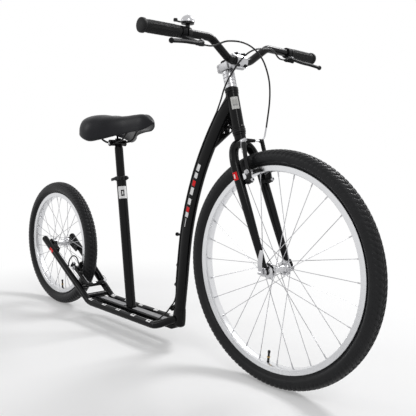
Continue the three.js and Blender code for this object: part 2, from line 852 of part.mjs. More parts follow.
function brakeLever(name, side, lever) {
  const pivot = point(leverPivot.reach, -side * leverPivot.inboard, 0);
  const tip = point(leverTip.reach, side * leverTip.outboard, 0);
  const low = -leverBlade.thickness / 2 + clearance * 2;
  const high = leverBlade.thickness / 2;
  const reach = leverTip.reach - leverPivot.reach;
  const route = [
    pivot,
    point(leverPivot.reach + reach * 0.45, -side * leverPivot.inboard * 0.4, 0),
    point(leverPivot.reach + reach * 0.62, side * leverTip.outboard * 0.35, 0),
    tip,
  ];
  const middle = (low + high) / 2;
  route.forEach((place) => place.setZ(middle));
  const hubDisc = rod(pivot.clone().setZ(low), pivot.clone().setZ(high), leverBlade.hubRadius, 10);
  const arm = swept(route, (high - low) * 0.7, leverBlade.width * 0.7, 4, 1 / 2);
  const ball = new THREE.SphereGeometry(leverBlade.tipRadius, 8, 6).translate(tip.x, tip.y, middle);
  const pinHole = leverBlade.pinRadius + clearance;
  const hole = rod(pivot.clone().setZ(-overrun), pivot.clone().setZ(overrun), pinHole, 8);
  const under = block(point(-overrun, -overrun * 4, -overrun), point(overrun * 4, overrun * 4, low));
  piece(name, cut(joined(hubDisc, arm, ball), hole, under), blackMetal, lever);
}

function bellPieces(hand) {
  const stand = groupAt(hand, 0, bell.inboard, 0, radians(90 - headAngle));
  const half = bell.width / 2;
  const ring = rod(point(0, -half, 0), point(0, half, 0), bell.ringRadius, 14);
  const neck = rod(point(0, 0, 0), point(0, 0, bell.height), half, 10);
  const saucer = rod(point(0, 0, bell.height), point(0, 0, bell.height + bell.base), bell.baseRadius, 16);
  const hole = rod(point(0, -overrun, 0), point(0, overrun, 0), leverRing.bore, 12);
  piece("bell_base", cut(joined(ring, neck, saucer), hole), blackPlastic, stand);
  const low = bell.height + bell.base + clearance;
  const profile = [
    [bell.domeRadius, low],
    [bell.domeRadius * 0.97, low + bell.domeRadius * 0.4],
    [bell.domeRadius * 0.75, low + bell.domeRadius * 0.8],
    [bell.domeRadius * 0.4, low + bell.domeRadius * 0.97],
    [0, low + bell.domeRadius],
    [0, low + bell.domeRadius * 0.88],
    [bell.domeRadius * 0.6, low + bell.domeRadius * 0.76],
    [bell.domeRadius * 0.86, low + bell.domeRadius * 0.36],
    [bell.domeRadius * 0.88, low],
    [bell.domeRadius, low],
  ];
  const points = profile.map(([radius, along]) => new THREE.Vector2(radius, along));
  piece("bell_dome", upright(new THREE.LatheGeometry(points.slice(0, 10), 16)), polished, stand);
  const foot = bell.height + bell.base - striker.thickness * 1.1;
  const thumb = block(
    point(-striker.width / 2, -bell.baseRadius - striker.length * 0.75, foot),
    point(striker.width / 2, -bell.baseRadius - clearance * 2, foot + striker.thickness),
  );
  const button = rod(
    point(0, -bell.baseRadius - striker.length * 0.6, foot),
    point(0, -bell.baseRadius - striker.length * 0.6, foot + striker.width),
    striker.width * 0.6,
    8,
  );
  piece("bell_striker", joined(thumb, button), blackPlastic, stand);
}

// ---- Brakes ----
function brakeArm(name, side, forwardSign, lift, pivot, padHeight, bend, brake) {
  const x = (out) => forwardSign * (lift + out);
  const hinge = (out) => point(x(out), side * post.out, pivot);
  const bossRod = rod(hinge(brakeBoss.start), hinge(brakeBoss.end), brakeBoss.radius, 8);
  const middle = x(armBar.centre);
  const top = pivot + armBar.length;
  const route = [
    point(middle, side * post.out, pivot),
    point(middle, side * armBar.bow, pivot + armBar.length * 0.3),
    point(middle, side * armBar.bow, pivot + armBar.length * 0.55),
    point(middle, side * armBar.top, pivot + armBar.length * 0.94),
    point(middle, side * armBar.top, top + armBar.thickness / 2),
  ];
  const arm = swept(route, armBar.width * 0.7, armBar.thickness * 0.7, 4, 1 / 2);
  const stud = rod(
    point(middle, side * (pad.outside + clearance), padHeight),
    point(middle, side * (armBar.bow + pad.washerRadius * 1.5), padHeight),
    pad.studRadius,
    8,
  );
  const washer = rod(
    point(middle, side * (pad.outside + pad.studRadius), padHeight),
    point(middle, side * (armBar.bow + pad.washerRadius), padHeight),
    pad.washerRadius,
    8,
  );
  const carriesNoodle = side === bend.side;
  const extra = carriesNoodle ? noodlePipe(bend, middle, top) : bootSleeve(bend, side, middle, top);
  const bore = rod(hinge(-overrun), hinge(brakeBoss.end + overrun), brakeBoss.bore, 8);
  const tipBore = carriesNoodle ? bore : bootBore(bend, side, middle, top);
  piece(name, cut(joined(bossRod, arm, stud, washer, extra), bore, tipBore), blackMetal, brake);
}

// The bent pipe that guides the cable, held in a cradle at the top of the arm.
function noodlePipe(bend, x, z) {
  const corners = [
    point(x, -bend.side * bend.across, z),
    point(x, bend.side * bend.out, z),
    noodleEnd(bend, x, z, 0),
  ];
  const pipe = swept(rounded(corners, bend.bend, 3), bend.radius, bend.radius, 8);
  const inner = bend.out - bend.bend;
  const cradle = rod(
    point(x, bend.side * armBar.top, z),
    point(x, bend.side * Math.min(inner, armBar.top - armBar.thickness), z),
    armBar.width / 2,
    8,
  );
  return joined(pipe, cradle);
}

function noodleEnd(bend, x, z, beyond) {
  const share = 1 + beyond / Math.abs(bend.tail);
  return point(x + bend.lean * share, bend.side * (bend.out + bend.radius), z + bend.tail * share);
}

function bootSleeve(bend, side, x, z) {
  return rod(point(x, side * armBar.top, z), point(x, -side * bend.bootEnd, z), boot.radius, 8);
}

function bootBore(bend, side, x, z) {
  const wall = armBar.top - armBar.thickness;
  return rod(point(x, side * wall, z), point(x, -side * (bend.bootEnd + overrun), z), boot.bore, 8);
}

function brakePad(name, side, forwardSign, lift, padHeight, padInside, brake) {
  const x = forwardSign * (lift + armBar.centre);
  const ys = [side * padInside, side * pad.outside].sort((a, b) => a - b);
  const low = point(x - pad.length / 2, ys[0], padHeight - pad.height / 2);
  const high = point(x + pad.length / 2, ys[1], padHeight + pad.height / 2);
  piece(name, block(low, high), rubber, brake);
}

function brakeSet(end, wheel, forwardSign, lift, pivot, bend, brake) {
  const track = wheel.rimRadius - rimDepth * 0.44;
  const padHeight = Math.sqrt(track ** 2 - (lift + armBar.centre) ** 2) - pad.drop;
  for (const [sideName, side] of [["left", 1], ["right", -1]]) {
    brakeArm(`${end}_brake_arm_${sideName}`, side, forwardSign, lift, pivot, padHeight, bend, brake);
    brakePad(`${end}_brake_pad_${sideName}`, side, forwardSign, lift, padHeight, bend.padInside, brake);
  }
}

// ---- Frame ----
const inPlane = (route) => route.map(([x, z]) => point(x, 0, z));
const steeringTilt = radians(headAngle - 90);
const headPlace = point(wheelbase, 0, frontWheel.tyreRadius).sub(
  axlePlace.clone().applyAxisAngle(point(0, 1, 0), steeringTilt),
);

function headRod(radius) {
  const along = point(0, 0, 1).applyAxisAngle(point(0, 1, 0), steeringTilt);
  const end = headTube.length / 2 + overrun;
  return rod(
    headPlace.clone().addScaledVector(along, -end),
    headPlace.clone().addScaledVector(along, end),
    radius,
    32,
  );
}

function mainTubeBody(extra) {
  const half = [mainTube.width / 2 + extra, mainTube.depth / 2 + extra];
  return swept(inPlane(mainTubeRoute), ...half, mainTube.sides);
}

function footCutter() {
  const tool = block(point(-overrun * 4, -overrun * 2, -overrun * 3), point(overrun * 5, overrun * 2, 0));
  tool.rotateY(-radians(mainTubeFoot.angle));
  return tool.translate(mainTubeFoot.x, 0, mainTubeFoot.z);
}

function mainTubePiece(bike) {
  const half = gusset.thickness / 2;
  const web = plate(gusset.corners, -half, half);
  const across = (x, z, radius) => rod(point(x, -overrun, z), point(x, overrun, z), radius, 10);
  const holes = gussetHoles.map(({ x, z, radius }) => across(x, z, radius));
  const stub = (x, z) => rod(point(x + boss.length, 0, z), point(x - boss.length, 0, z), boss.radius, 8);
  const stubs = bosses.map(({ x, z }) => stub(x, z));
  const peg = rod(
    point(cablePeg.x + cablePeg.length, 0, cablePeg.z),
    point(cablePeg.x - cablePeg.length, 0, cablePeg.z),
    cablePeg.radius,
    8,
  );
  const stop = rod(
    point(cableStop.x + cableStop.length, 0, cableStop.z + cableStop.radius),
    point(cableStop.x - cableStop.length, 0, cableStop.z),
    cableStop.radius,
    8,
  );
  const frameTube = joined(mainTubeBody(0), cut(web, ...holes), ...stubs, peg, stop);
  const way = [...behindTube(), ...cablePath(deckCableRoute.slice(0, 2))];
  const passage = swept(way, cable.radius * 1.5, cable.radius * 1.5, 8);
  const shape = cut(frameTube, headRod(headTube.radius + clearance), footCutter(), passage);
  piece("main_tube", shape, blackPaint, bike);
}

// The rear brake cable runs down just behind the main tube, a little to the right.
function behindTube() {
  const centres = inPlane(mainTubeRoute);
  const gap = cable.radius + clearance * 2;
  const aside = cableAside / (mainTube.width / 2 + gap);
  const back = (mainTube.depth / 2 + gap) * Math.sqrt(1 - aside ** 2);
  const points = [];
  for (let i = centres.length - 2; i > 0; i -= 1) {
    const way = centres[i + 1].clone().sub(centres[i - 1]).normalize();
    points.push(centres[i].clone().add(point(-way.z * back, -cableAside, way.x * back)));
  }
  return points;
}

function cablePath(route) {
  return route.map(([x, y, z]) => point(x, y, z));
}

function sideCorners(side) {
  return sideTubeRoute.map(([x, y, z]) => point(x, side * y, z));
}

function sideTubeBody(side, radius) {
  return swept(rounded(sideCorners(side), sideTubeBend, 4), radius, radius, 10);
}

const [stayEnd, stayFoot] = sideCorners(0);
const stayWay = stayFoot.clone().sub(stayEnd).normalize();
const stayForward = point(-stayWay.z, 0, stayWay.x);
const rearAxlePlace = point(0, 0, rearWheel.tyreRadius);
const stayLift = stayEnd.clone().sub(rearAxlePlace).dot(stayForward);

// The dropout plate and the block that joins it to the stay.
function dropoutPlate(side) {
  const ys = [side * dropout.inside, side * (dropout.inside + dropout.thickness)].sort((a, b) => a - b);
  const at = (along, up) => {
    const place = rearAxlePlace.clone().addScaledVector(stayWay, along).addScaledVector(stayForward, up);
    return [place.x, place.z];
  };
  const r = dropout.radius;
  const shape = plate(
    [at(-r, -r * 0.4), at(dropout.reach, -r * 0.2), at(dropout.reach, dropout.width), at(r, r * 1.3), at(-r, r)],
    ...ys,
  );
  const slot = block(
    point(-dropout.slot / 2, -overrun * 2, -overrun),
    point(dropout.slot / 2, overrun * 2, dropout.slot / 2),
  );
  slot.translate(...rearAxlePlace.toArray());
  const root = rearAxlePlace.clone().addScaledVector(stayWay, dropout.reach * 0.7);
  root.addScaledVector(stayForward, stayLift);
  const link = rod(
    root.clone().setY(side * dropout.inside),
    root.clone().setY(side * (dropout.inside + sideTubeRadius * 1.6)),
    sideTubeRadius * 0.7,
    8,
  );
  return joined(cut(shape, slot), link);
}

function sideTube(name, side, bike) {
  const postBar = brakePost(stayWay, stayForward, side, stayLift, rearPivot);
  postBar.translate(...rearAxlePlace.toArray());
  const steel = joined(sideTubeBody(side, sideTubeRadius), dropoutPlate(side), postBar);
  piece(name, cut(steel, mainTubeBody(clearance)), blackPaint, bike);
}

function deckBeam(bike) {
  const body = block(
    point(beam.rear, -beam.width / 2, beam.top - beam.height),
    point(beam.front, beam.width / 2, beam.top),
  );
  const cross = rod(
    point(crossbar.x, -sideTubeRoute[1][1], crossbar.z),
    point(crossbar.x, sideTubeRoute[1][1], crossbar.z),
    crossbar.radius,
    10,
  );
  const tools = [1, -1].map((side) => sideTubeBody(side, sideTubeRadius + clearance * 2));
  const shape = cut(joined(body, cross), mainTubeBody(clearance), footCutter(), ...tools);
  piece("deck_beam", shape, blackPaint, bike);
}

function stayBridgePiece(bike) {
  const spread = sideTubeRoute[0][1];
  const cross = rod(
    point(stayBridge.x, -spread, stayBridge.z),
    point(stayBridge.x, spread, stayBridge.z),
    stayBridge.radius,
    10,
  );
  const tools = [1, -1].map((side) => sideTubeBody(side, sideTubeRadius + clearance * 2));
  const middle = geometryOf(
    solidOf(cut(cross, ...tools)).decompose().sort((a, b) => b.volume() - a.volume())[0],
  );
  piece("stay_bridge", middle, blackPaint, bike);
}

function gripStrip(name, [from, to], bike) {
  const low = beam.top + clearance;
  const shape = block(point(from, -strip.width / 2, low), point(to, strip.width / 2, low + strip.thickness));
  piece(name, shape, gripTape, bike);
}

// ---- Seat ----
function seatTubePiece(seat) {
  const { length, radius, bore } = seatTube;
  const low = -radius;
  const profile = [
    [bore, length],
    [radius, length],
    [radius, low],
    [bore, low],
  ];
  const floor = block(point(-overrun, -overrun, -overrun * 2), point(overrun, overrun, clearance));
  floor.rotateY(radians(seatFoot.lean));
  piece("seat_tube", cut(upright(turned(profile, 16)), floor), blackPaint, seat);
}

const collarMiddle = seatTube.length - collar.height / 2;

function seatCollar(seat) {
  const ring = rod(
    point(0, 0, seatTube.length - collar.height),
    point(0, 0, seatTube.length),
    collar.radius,
    16,
  );
  const ears = block(
    point(seatTube.radius, -collar.earWidth, seatTube.length - collar.height),
    point(collar.ear, collar.earWidth, seatTube.length),
  );
  const hole = rod(point(0, 0, 0), point(0, 0, seatTube.length + overrun), seatTube.radius + clearance, 16);
  const slitHalf = barClamp.split / 2;
  const slitEnd = collar.ear - collar.boltRadius * 2;
  const slit = block(point(0, -slitHalf, 0), point(slitEnd, slitHalf, seatTube.length + overrun));
  const bolt = rod(
    point(collar.ear - collar.boltRadius * 1.4, -collar.earWidth * 1.5, collarMiddle),
    point(collar.ear - collar.boltRadius * 1.4, collar.earWidth * 2, collarMiddle),
    collar.boltRadius,
    8,
  );
  piece("seat_collar", cut(joined(cut(ears, slit), ring, bolt), hole), blackMetal, seat);
}

function seatCollarLever(seat) {
  const { length, width, thickness } = collarLever;
  const bolt = collar.ear - collar.boltRadius * 1.4;
  const middle = -collar.earWidth * 1.5 - clearance - width / 2;
  const cam = rod(
    point(bolt, middle, collarMiddle - width / 2),
    point(bolt, middle, collarMiddle + width / 2),
    width / 2,
    12,
  );
  const route = [
    point(bolt, middle, collarMiddle),
    point(bolt - length * 0.3, middle - width * 0.32, collarMiddle),
    point(bolt - length * 0.8, middle - width * 0.24, collarMiddle + thickness * 0.4),
    point(bolt - length * 1.1, middle - width * 0.36, collarMiddle + thickness * 0.7),
  ];
  const handle = swept(route, width * 0.6, thickness * 0.7, 4, 1 / 2);
  piece("seat_collar_lever", joined(cam, handle), blackMetal, seat);
}

function seatPostPiece(seat) {
  const profile = [
    [0, seatPost.start],
    [seatPost.radius, seatPost.start],
    [seatPost.radius, seatPost.shoulder],
    [seatPost.neckRadius, seatPost.shoulder + seatPost.neckRadius],
    [seatPost.neckRadius, seatPost.end],
    [0, seatPost.end],
  ];
  piece("seatpost", upright(turned(profile, 14)), blackPaint, seat);
}

function railBody(extra) {
  const wire = (side) => {
    const points = railRoute.map(([x, y, z]) => point(x, side * y, saddle.base + z));
    points.push(point(railNose.x, 0, saddle.base + railNose.z));
    return swept(points, railRadius + extra, railRadius + extra, 6);
  };
  return joined(wire(1), wire(-1));
}

function saddleRails(bike) {
  piece("saddle_rails", railBody(0), blackMetal, bike);
}

function saddleClamp(bike) {
  const { x, belowSaddle, length, width, height, jawHeight } = clampBlock;
  const z = saddle.base - belowSaddle;
  const jaws = block(
    point(x - length / 2, -width / 2, z - height / 2),
    point(x + length / 2, width / 2, z + height / 2 + jawHeight / 2),
  );
  const low = z - height * 0.3;
  const bolt = rod(point(x, -width * 0.62, low), point(x, width * 0.62, low), height * 0.7, 10);
  const grooveRadius = railRadius + clearance * 2;
  const grooves = [1, -1].map((side) =>
    swept(railRoute.map(([px, py, pz]) => point(px, side * py, saddle.base + pz)), grooveRadius, grooveRadius, 8),
  );
  const lean = point(-Math.sin(radians(seatFoot.lean)), 0, Math.cos(radians(seatFoot.lean)));
  const foot = point(seatFoot.x, 0, beam.top);
  const neck = rod(
    foot.clone().addScaledVector(lean, seatPost.shoulder),
    foot.clone().addScaledVector(lean, seatPost.end + clearance * 2),
    seatPost.neckRadius + clearance,
    16,
  );
  const shoulder = rod(
    foot,
    foot.clone().addScaledVector(lean, seatPost.shoulder + seatPost.neckRadius + clearance),
    seatPost.radius + clearance * 2,
    16,
  );
  piece("saddle_clamp", cut(joined(jaws, bolt), ...grooves, neck, shoulder), blackMetal, bike);
}

// The cushion: sections along its length, wide at the tail, waisted, and round at the nose.
function saddlePiece(bike) {
  const around = 18;
  const steps = 21;
  const curve = (key) => {
    const points = saddleStations.map((station, i) => point(i, station[key], 0));
    return new THREE.CatmullRomCurve3(points, false, "catmullrom", 1 / 2);
  };
  const curves = { width: curve("width"), top: curve("top"), under: curve("under"), skirt: curve("skirt") };
  const shape = new THREE.SphereGeometry(1, around, steps).rotateZ(Math.PI / 2);
  const at = shape.getAttribute("position");
  for (let i = 0; i < at.count; i += 1) {
    const lengthShare = (1 - Math.max(-1, Math.min(1, at.getX(i)))) / 2;
    const place = Math.acos(1 - 2 * lengthShare) / Math.PI;
    const ring = Math.hypot(at.getY(i), at.getZ(i));
    const round = Math.sin(Math.PI * place);
    const side = ring > weldShare ? at.getZ(i) / ring : 0;
    const up = ring > weldShare ? at.getY(i) / ring : 0;
    const values = {};
    for (const key of Object.keys(curves)) values[key] = curves[key].getPoint(place).y;
    const endShare = Math.min(1, round * 3.2) ** 0.5;
    const half = values.width * endShare * Math.sign(side) * Math.abs(side) ** 0.8;
    const middle = (values.top + values.under) / 2;
    const edge = (values.skirt + values.under) / 2;
    const low = THREE.MathUtils.lerp(values.under, edge, Math.abs(side) ** 0.7);
    const top = THREE.MathUtils.lerp(middle, values.top, Math.abs(up) ** 0.75 * endShare);
    const bottom = THREE.MathUtils.lerp(middle, low, Math.abs(up) ** 0.5 * endShare);
    const skirtDrop = (values.under - values.skirt) * Math.abs(side) ** 3 * endShare;
    const z = (up >= 0 ? top : bottom) - skirtDrop;
    const x = THREE.MathUtils.lerp(saddle.rear, saddle.nose, place);
    at.setXYZ(i, x, half, saddle.base + z);
  }
  shape.deleteAttribute("normal");
  shape.deleteAttribute("uv");
  piece("saddle", cut(shape, railBody(clearance)), leatherette, bike);
}

// ---- Cables ----
function cablePiece(name, points, bike) {
  piece(name, swept(points, cable.radius, cable.radius, cable.sides), blackPlastic, bike);
}

function inBike(group, place) {
  group.updateWorldMatrix(true, false);
  return bike.worldToLocal(group.localToWorld(place));
}

// Where a cable leaves a lever bracket: two points on the line of its adjusting screw.
function leverEnd(side, lever) {
  return [clearance, adjuster.length].map((gap) => inBike(lever, adjusterPoint(side, adjuster.length + gap)));
}

// Where a cable enters a brake's bent pipe: two points on the line of its end.
function pipeEnd(bend, x, pivot, brake) {
  const height = pivot + armBar.length;
  return [adjuster.length, clearance].map((gap) => inBike(brake, noodleEnd(bend, x, height, gap)));
}

// ---- Assembly ----
const bike = new THREE.Group();
bike.position.x = -(wheelbase + frontWheel.tyreRadius - rearWheel.tyreRadius) / 2;

const frontCentre = wheelSet("front", frontWheel, frontHub, wheelbase, bike);
const rearCentre = wheelSet("rear", rearWheel, rearHub, 0, bike);
frontAxle(frontCentre);
axleLever(frontCentre);
rearAxle(rearCentre);

const steering = groupAt(bike, ...headPlace.toArray(), steeringTilt);
headTubePiece(steering);
headset(steering);
forkSteerer(steering);
forkLeg("fork_leg_left", 1, steering);
forkLeg("fork_leg_right", -1, steering);
spacerStack(steering);
stemPiece(steering);
faceplate(steering);
stemCap(steering);
handlebar(steering);
const levers = {};
for (const [name, side] of [["left", 1], ["right", -1]]) {
  const hand = handGroup(side, steering);
  handGrip(`grip_${name}`, side, hand);
  const lever = groupAt(hand, 0, 0, 0, radians(leverTilt));
  levers[name] = lever;
  leverBracket(`lever_bracket_${name}`, side, lever);
  brakeLever(`brake_lever_${name}`, side, lever);
  if (side < 0) bellPieces(hand);
}

const frontBrake = groupAt(steering, ...axlePlace.toArray());
brakeSet("front", frontWheel, 1, frontLift, frontPivot, frontLink, frontBrake);
const rearBrake = groupAt(bike, ...rearAxlePlace.toArray(), Math.atan2(stayWay.x, stayWay.z));
brakeSet("rear", rearWheel, -1, stayLift, rearPivot, rearLink, rearBrake);

mainTubePiece(bike);
sideTube("side_tube_left", 1, bike);
sideTube("side_tube_right", -1, bike);
deckBeam(bike);
stayBridgePiece(bike);
gripStrip("deck_grip_rear", strip.rear, bike);
gripStrip("deck_grip_front", strip.front, bike);

const frontCable = [
  ...leverEnd(-1, levers.right),
  ...cablePath(frontCableRoute),
  ...pipeEnd(frontLink, frontLift + armBar.centre, frontPivot, frontBrake),
];
cablePiece("front_brake_cable", frontCable, bike);
const tubeCable = behindTube();
const tubeStart = tubeCable[0].clone().sub(tubeCable[1]).normalize();
const rearUpperCable = [
  ...leverEnd(1, levers.left),
  ...cablePath(rearUpperCableRoute),
  tubeCable[0].clone().addScaledVector(tubeStart, adjuster.radius * 2),
  tubeCable[0].clone().addScaledVector(tubeStart, clearance),
];
cablePiece("rear_brake_cable_upper", rearUpperCable, bike);
const rearPipe = pipeEnd(rearLink, -stayLift - armBar.centre, rearPivot, rearBrake);
cablePiece("rear_brake_cable", [...tubeCable, ...cablePath(deckCableRoute), ...rearPipe], bike);

const seat = groupAt(bike, seatFoot.x, 0, beam.top, -radians(seatFoot.lean));
seatTubePiece(seat);
seatCollar(seat);
seatCollarLever(seat);
seatPostPiece(seat);
saddleRails(bike);
saddleClamp(bike);
saddlePiece(bike);

export default bike;
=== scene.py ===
import math

import bmesh
import bpy
import numpy as np
from mathutils import Matrix, Vector
from mathutils.geometry import delaunay_2d_cdt


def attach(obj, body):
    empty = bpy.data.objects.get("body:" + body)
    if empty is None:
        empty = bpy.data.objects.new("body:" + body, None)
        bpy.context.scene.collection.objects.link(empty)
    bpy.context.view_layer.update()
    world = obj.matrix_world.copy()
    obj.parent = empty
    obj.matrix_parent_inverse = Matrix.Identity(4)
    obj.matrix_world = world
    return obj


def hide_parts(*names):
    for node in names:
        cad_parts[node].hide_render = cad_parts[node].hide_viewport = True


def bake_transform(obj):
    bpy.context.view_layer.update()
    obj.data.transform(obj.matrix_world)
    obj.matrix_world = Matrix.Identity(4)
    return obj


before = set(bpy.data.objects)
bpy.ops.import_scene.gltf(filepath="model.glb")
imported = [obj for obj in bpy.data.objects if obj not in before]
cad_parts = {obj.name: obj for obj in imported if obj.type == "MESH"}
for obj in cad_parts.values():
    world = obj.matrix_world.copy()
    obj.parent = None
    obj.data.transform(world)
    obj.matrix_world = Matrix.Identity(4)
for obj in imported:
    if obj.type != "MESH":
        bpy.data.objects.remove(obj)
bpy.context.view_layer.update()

# Camera
# Where the photographer stood: to the front right of the bike, at about the height of its head tube, looking
# slightly down.
eye = Vector((1.5649, -1.2375, 0.6542))
looking = Vector((-0.7200, 0.6869, -0.0989))
upward = Vector((-0.0859, 0.0531, 0.9949))
camera = bpy.data.objects.new("camera", bpy.data.cameras.new("camera"))
camera.data.sensor_width = 36
camera.data.lens = 50.74
turned_to_bike = Matrix((looking.cross(upward), upward, -looking)).transposed().to_4x4()
camera.matrix_world = Matrix.Translation(eye) @ turned_to_bike
bpy.context.scene.collection.objects.link(camera)
bpy.context.scene.camera = camera

# Wheels
# Wire wheels, 26 inch in front and 20 inch behind: alloy rims on steel spokes laced over alloy hubs, and
# black treaded tyres over inner tubes. All sizes are millimetres, from the ground below the rear axle.
half_length = 624
spoke_count = 28
tyre_half, rim_half, rim_depth, flange_radius = 25, 15, 18, 22
wheels = {
    "front": dict(
        x=1172, tyre=330, rim=287, crosses=3, valve=-94.5, flange=34, half=45, barrel=9.5, blocks=64,
    ),
    "rear": dict(x=0, tyre=254, rim=209.5, crosses=2, valve=-86, flange=26, half=35, barrel=11, blocks=48),
}
sideways, upwards = (0, 1, 0), (0, 0, 1)


def unit(v):
    """Each vector divided by its length."""
    v = np.asarray(v, float)
    return v / np.linalg.norm(v, axis=-1, keepdims=True)


def turns(steps):
    """Even steps of angle round a circle."""
    return np.linspace(0, 2 * np.pi, steps, endpoint=False)


def facing(origin, direction):
    """A frame at origin whose z runs along direction and whose x is level where it can be."""
    z = unit(direction)
    x = unit(np.cross(upwards if abs(z[2]) < 0.9 else (1, 0, 0), z))
    return np.stack([x, np.cross(z, x), z], 1), np.asarray(origin, float)


def put(place, points):
    """Points of a piece's own frame, turned and moved to the bike's frame."""
    turn, origin = place
    return np.asarray(points, float) @ turn.T + origin


def both_ways(half):
    """A profile followed by its mirror image."""
    return [*half, *[(r, -h) for r, h in half[::-1]]]


def net(rows, columns, wrap_rows=False):
    """Squares between neighbouring points of a grid whose columns, and rows if asked, close on
    themselves."""
    r, c = np.meshgrid(np.arange(rows if wrap_rows else rows - 1), np.arange(columns), indexing="ij")
    r2, c2 = (r + 1) % rows, (c + 1) % columns
    return np.stack(
        [r * columns + c, r * columns + c2, r2 * columns + c2, r2 * columns + c], -1
    ).reshape(-1, 4)


def smooth_through(points, count):
    """A curve through the points at even chord steps: cubic pieces whose slopes are central differences."""
    p = np.asarray(points, float)
    t = np.concatenate([[0], np.cumsum(np.linalg.norm(np.diff(p, axis=0), axis=1))])
    slope = np.gradient(p, t, axis=0)
    at = np.linspace(0, t[-1], count)
    i = np.clip(np.searchsorted(t, at, side="right") - 1, 0, len(t) - 2)
    h = (t[i + 1] - t[i])[:, None]
    u = (at - t[i])[:, None] / h
    ends = (2 * u**3 - 3 * u**2 + 1) * p[i] + (3 * u**2 - 2 * u**3) * p[i + 1]
    return ends + (u**3 - 2 * u**2 + u) * h * slope[i] + (u**3 - u**2) * h * slope[i + 1]


def spin(reach, heights, place, ring=False):
    """Rings about the frame's z, (r cos a, r sin a, h), from a row of radii for each height."""
    a = turns(reach.shape[1])
    heights = np.broadcast_to(np.asarray(heights)[:, None], reach.shape)
    points = np.stack([reach * np.cos(a), reach * np.sin(a), heights], -1)
    return put(place, points.reshape(-1, 3)), [net(*reach.shape, wrap_rows=ring)]


def revolve(profile, place, steps=64, ring=False):
    """A profile of (radius, height) turned about the frame's z. A ring's profile closes on itself."""
    r, h = np.asarray(profile, float).T
    return spin(np.repeat(r[:, None], steps, 1), h, place, ring)


def build(name, body, look, shells, stands_for=None, crease=32, bevel=0):
    """One mesh of all the shells, in metres from the part's origin, with points that lie together welded and
    faces turned outwards. Edges sharper than crease degrees stay sharp, and bevel rounds them."""
    material, slot = look
    faces, start = [], 0
    for points, groups in shells:
        for group in groups:
            faces += (group + start).tolist()
        start += len(points)
    points = (np.concatenate([points for points, _ in shells]) - (half_length, 0, 0)) / 1000
    mesh = bpy.data.meshes.new(name)
    mesh.from_pydata(points.tolist(), [], faces)
    work = bmesh.new()
    work.from_mesh(mesh)
    bmesh.ops.remove_doubles(work, verts=work.verts, dist=1e-7)
    bmesh.ops.dissolve_degenerate(work, edges=work.edges, dist=1e-8)
    bmesh.ops.recalc_face_normals(work, faces=work.faces)
    work.to_mesh(mesh)
    work.free()
    mesh.shade_smooth()
    mesh.set_sharp_from_angle(angle=math.radians(crease))
    mesh.materials.append(material)
    piece = bpy.data.objects.new(name, mesh)
    bpy.context.scene.collection.objects.link(piece)
    if bevel:
        rounding = piece.modifiers.new("rounded edges", "BEVEL")
        rounding.width, rounding.segments = bevel / 1000, 2
        rounding.limit_method, rounding.angle_limit = "ANGLE", math.radians(50)
        rounding.harden_normals = True
    if body:
        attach(piece, body)
    if stands_for:
        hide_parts(stands_for)
    return piece


def feed(tree, made, inputs):
    """Links each input of a shader node to another node's output, or gives it a value."""
    for key, value in inputs.items():
        if isinstance(value, bpy.types.NodeSocket):
            tree.links.new(value, made.inputs[key])
        else:
            made.inputs[key].default_value = value


def add(tree, kind, inputs, out=0, **properties):
    """One output of a new shader node."""
    made = tree.nodes.new("ShaderNode" + kind)
    for key, value in properties.items():
        setattr(made, key, value)
    feed(tree, made, inputs)
    return made.outputs[out]


def maths(tree, operation, *values, out=0, **properties):
    """The result of a maths node, which works on vectors where out names its output."""
    kind = "VectorMath" if out else "Math"
    return add(tree, kind, dict(enumerate(values)), out, operation=operation, **properties)


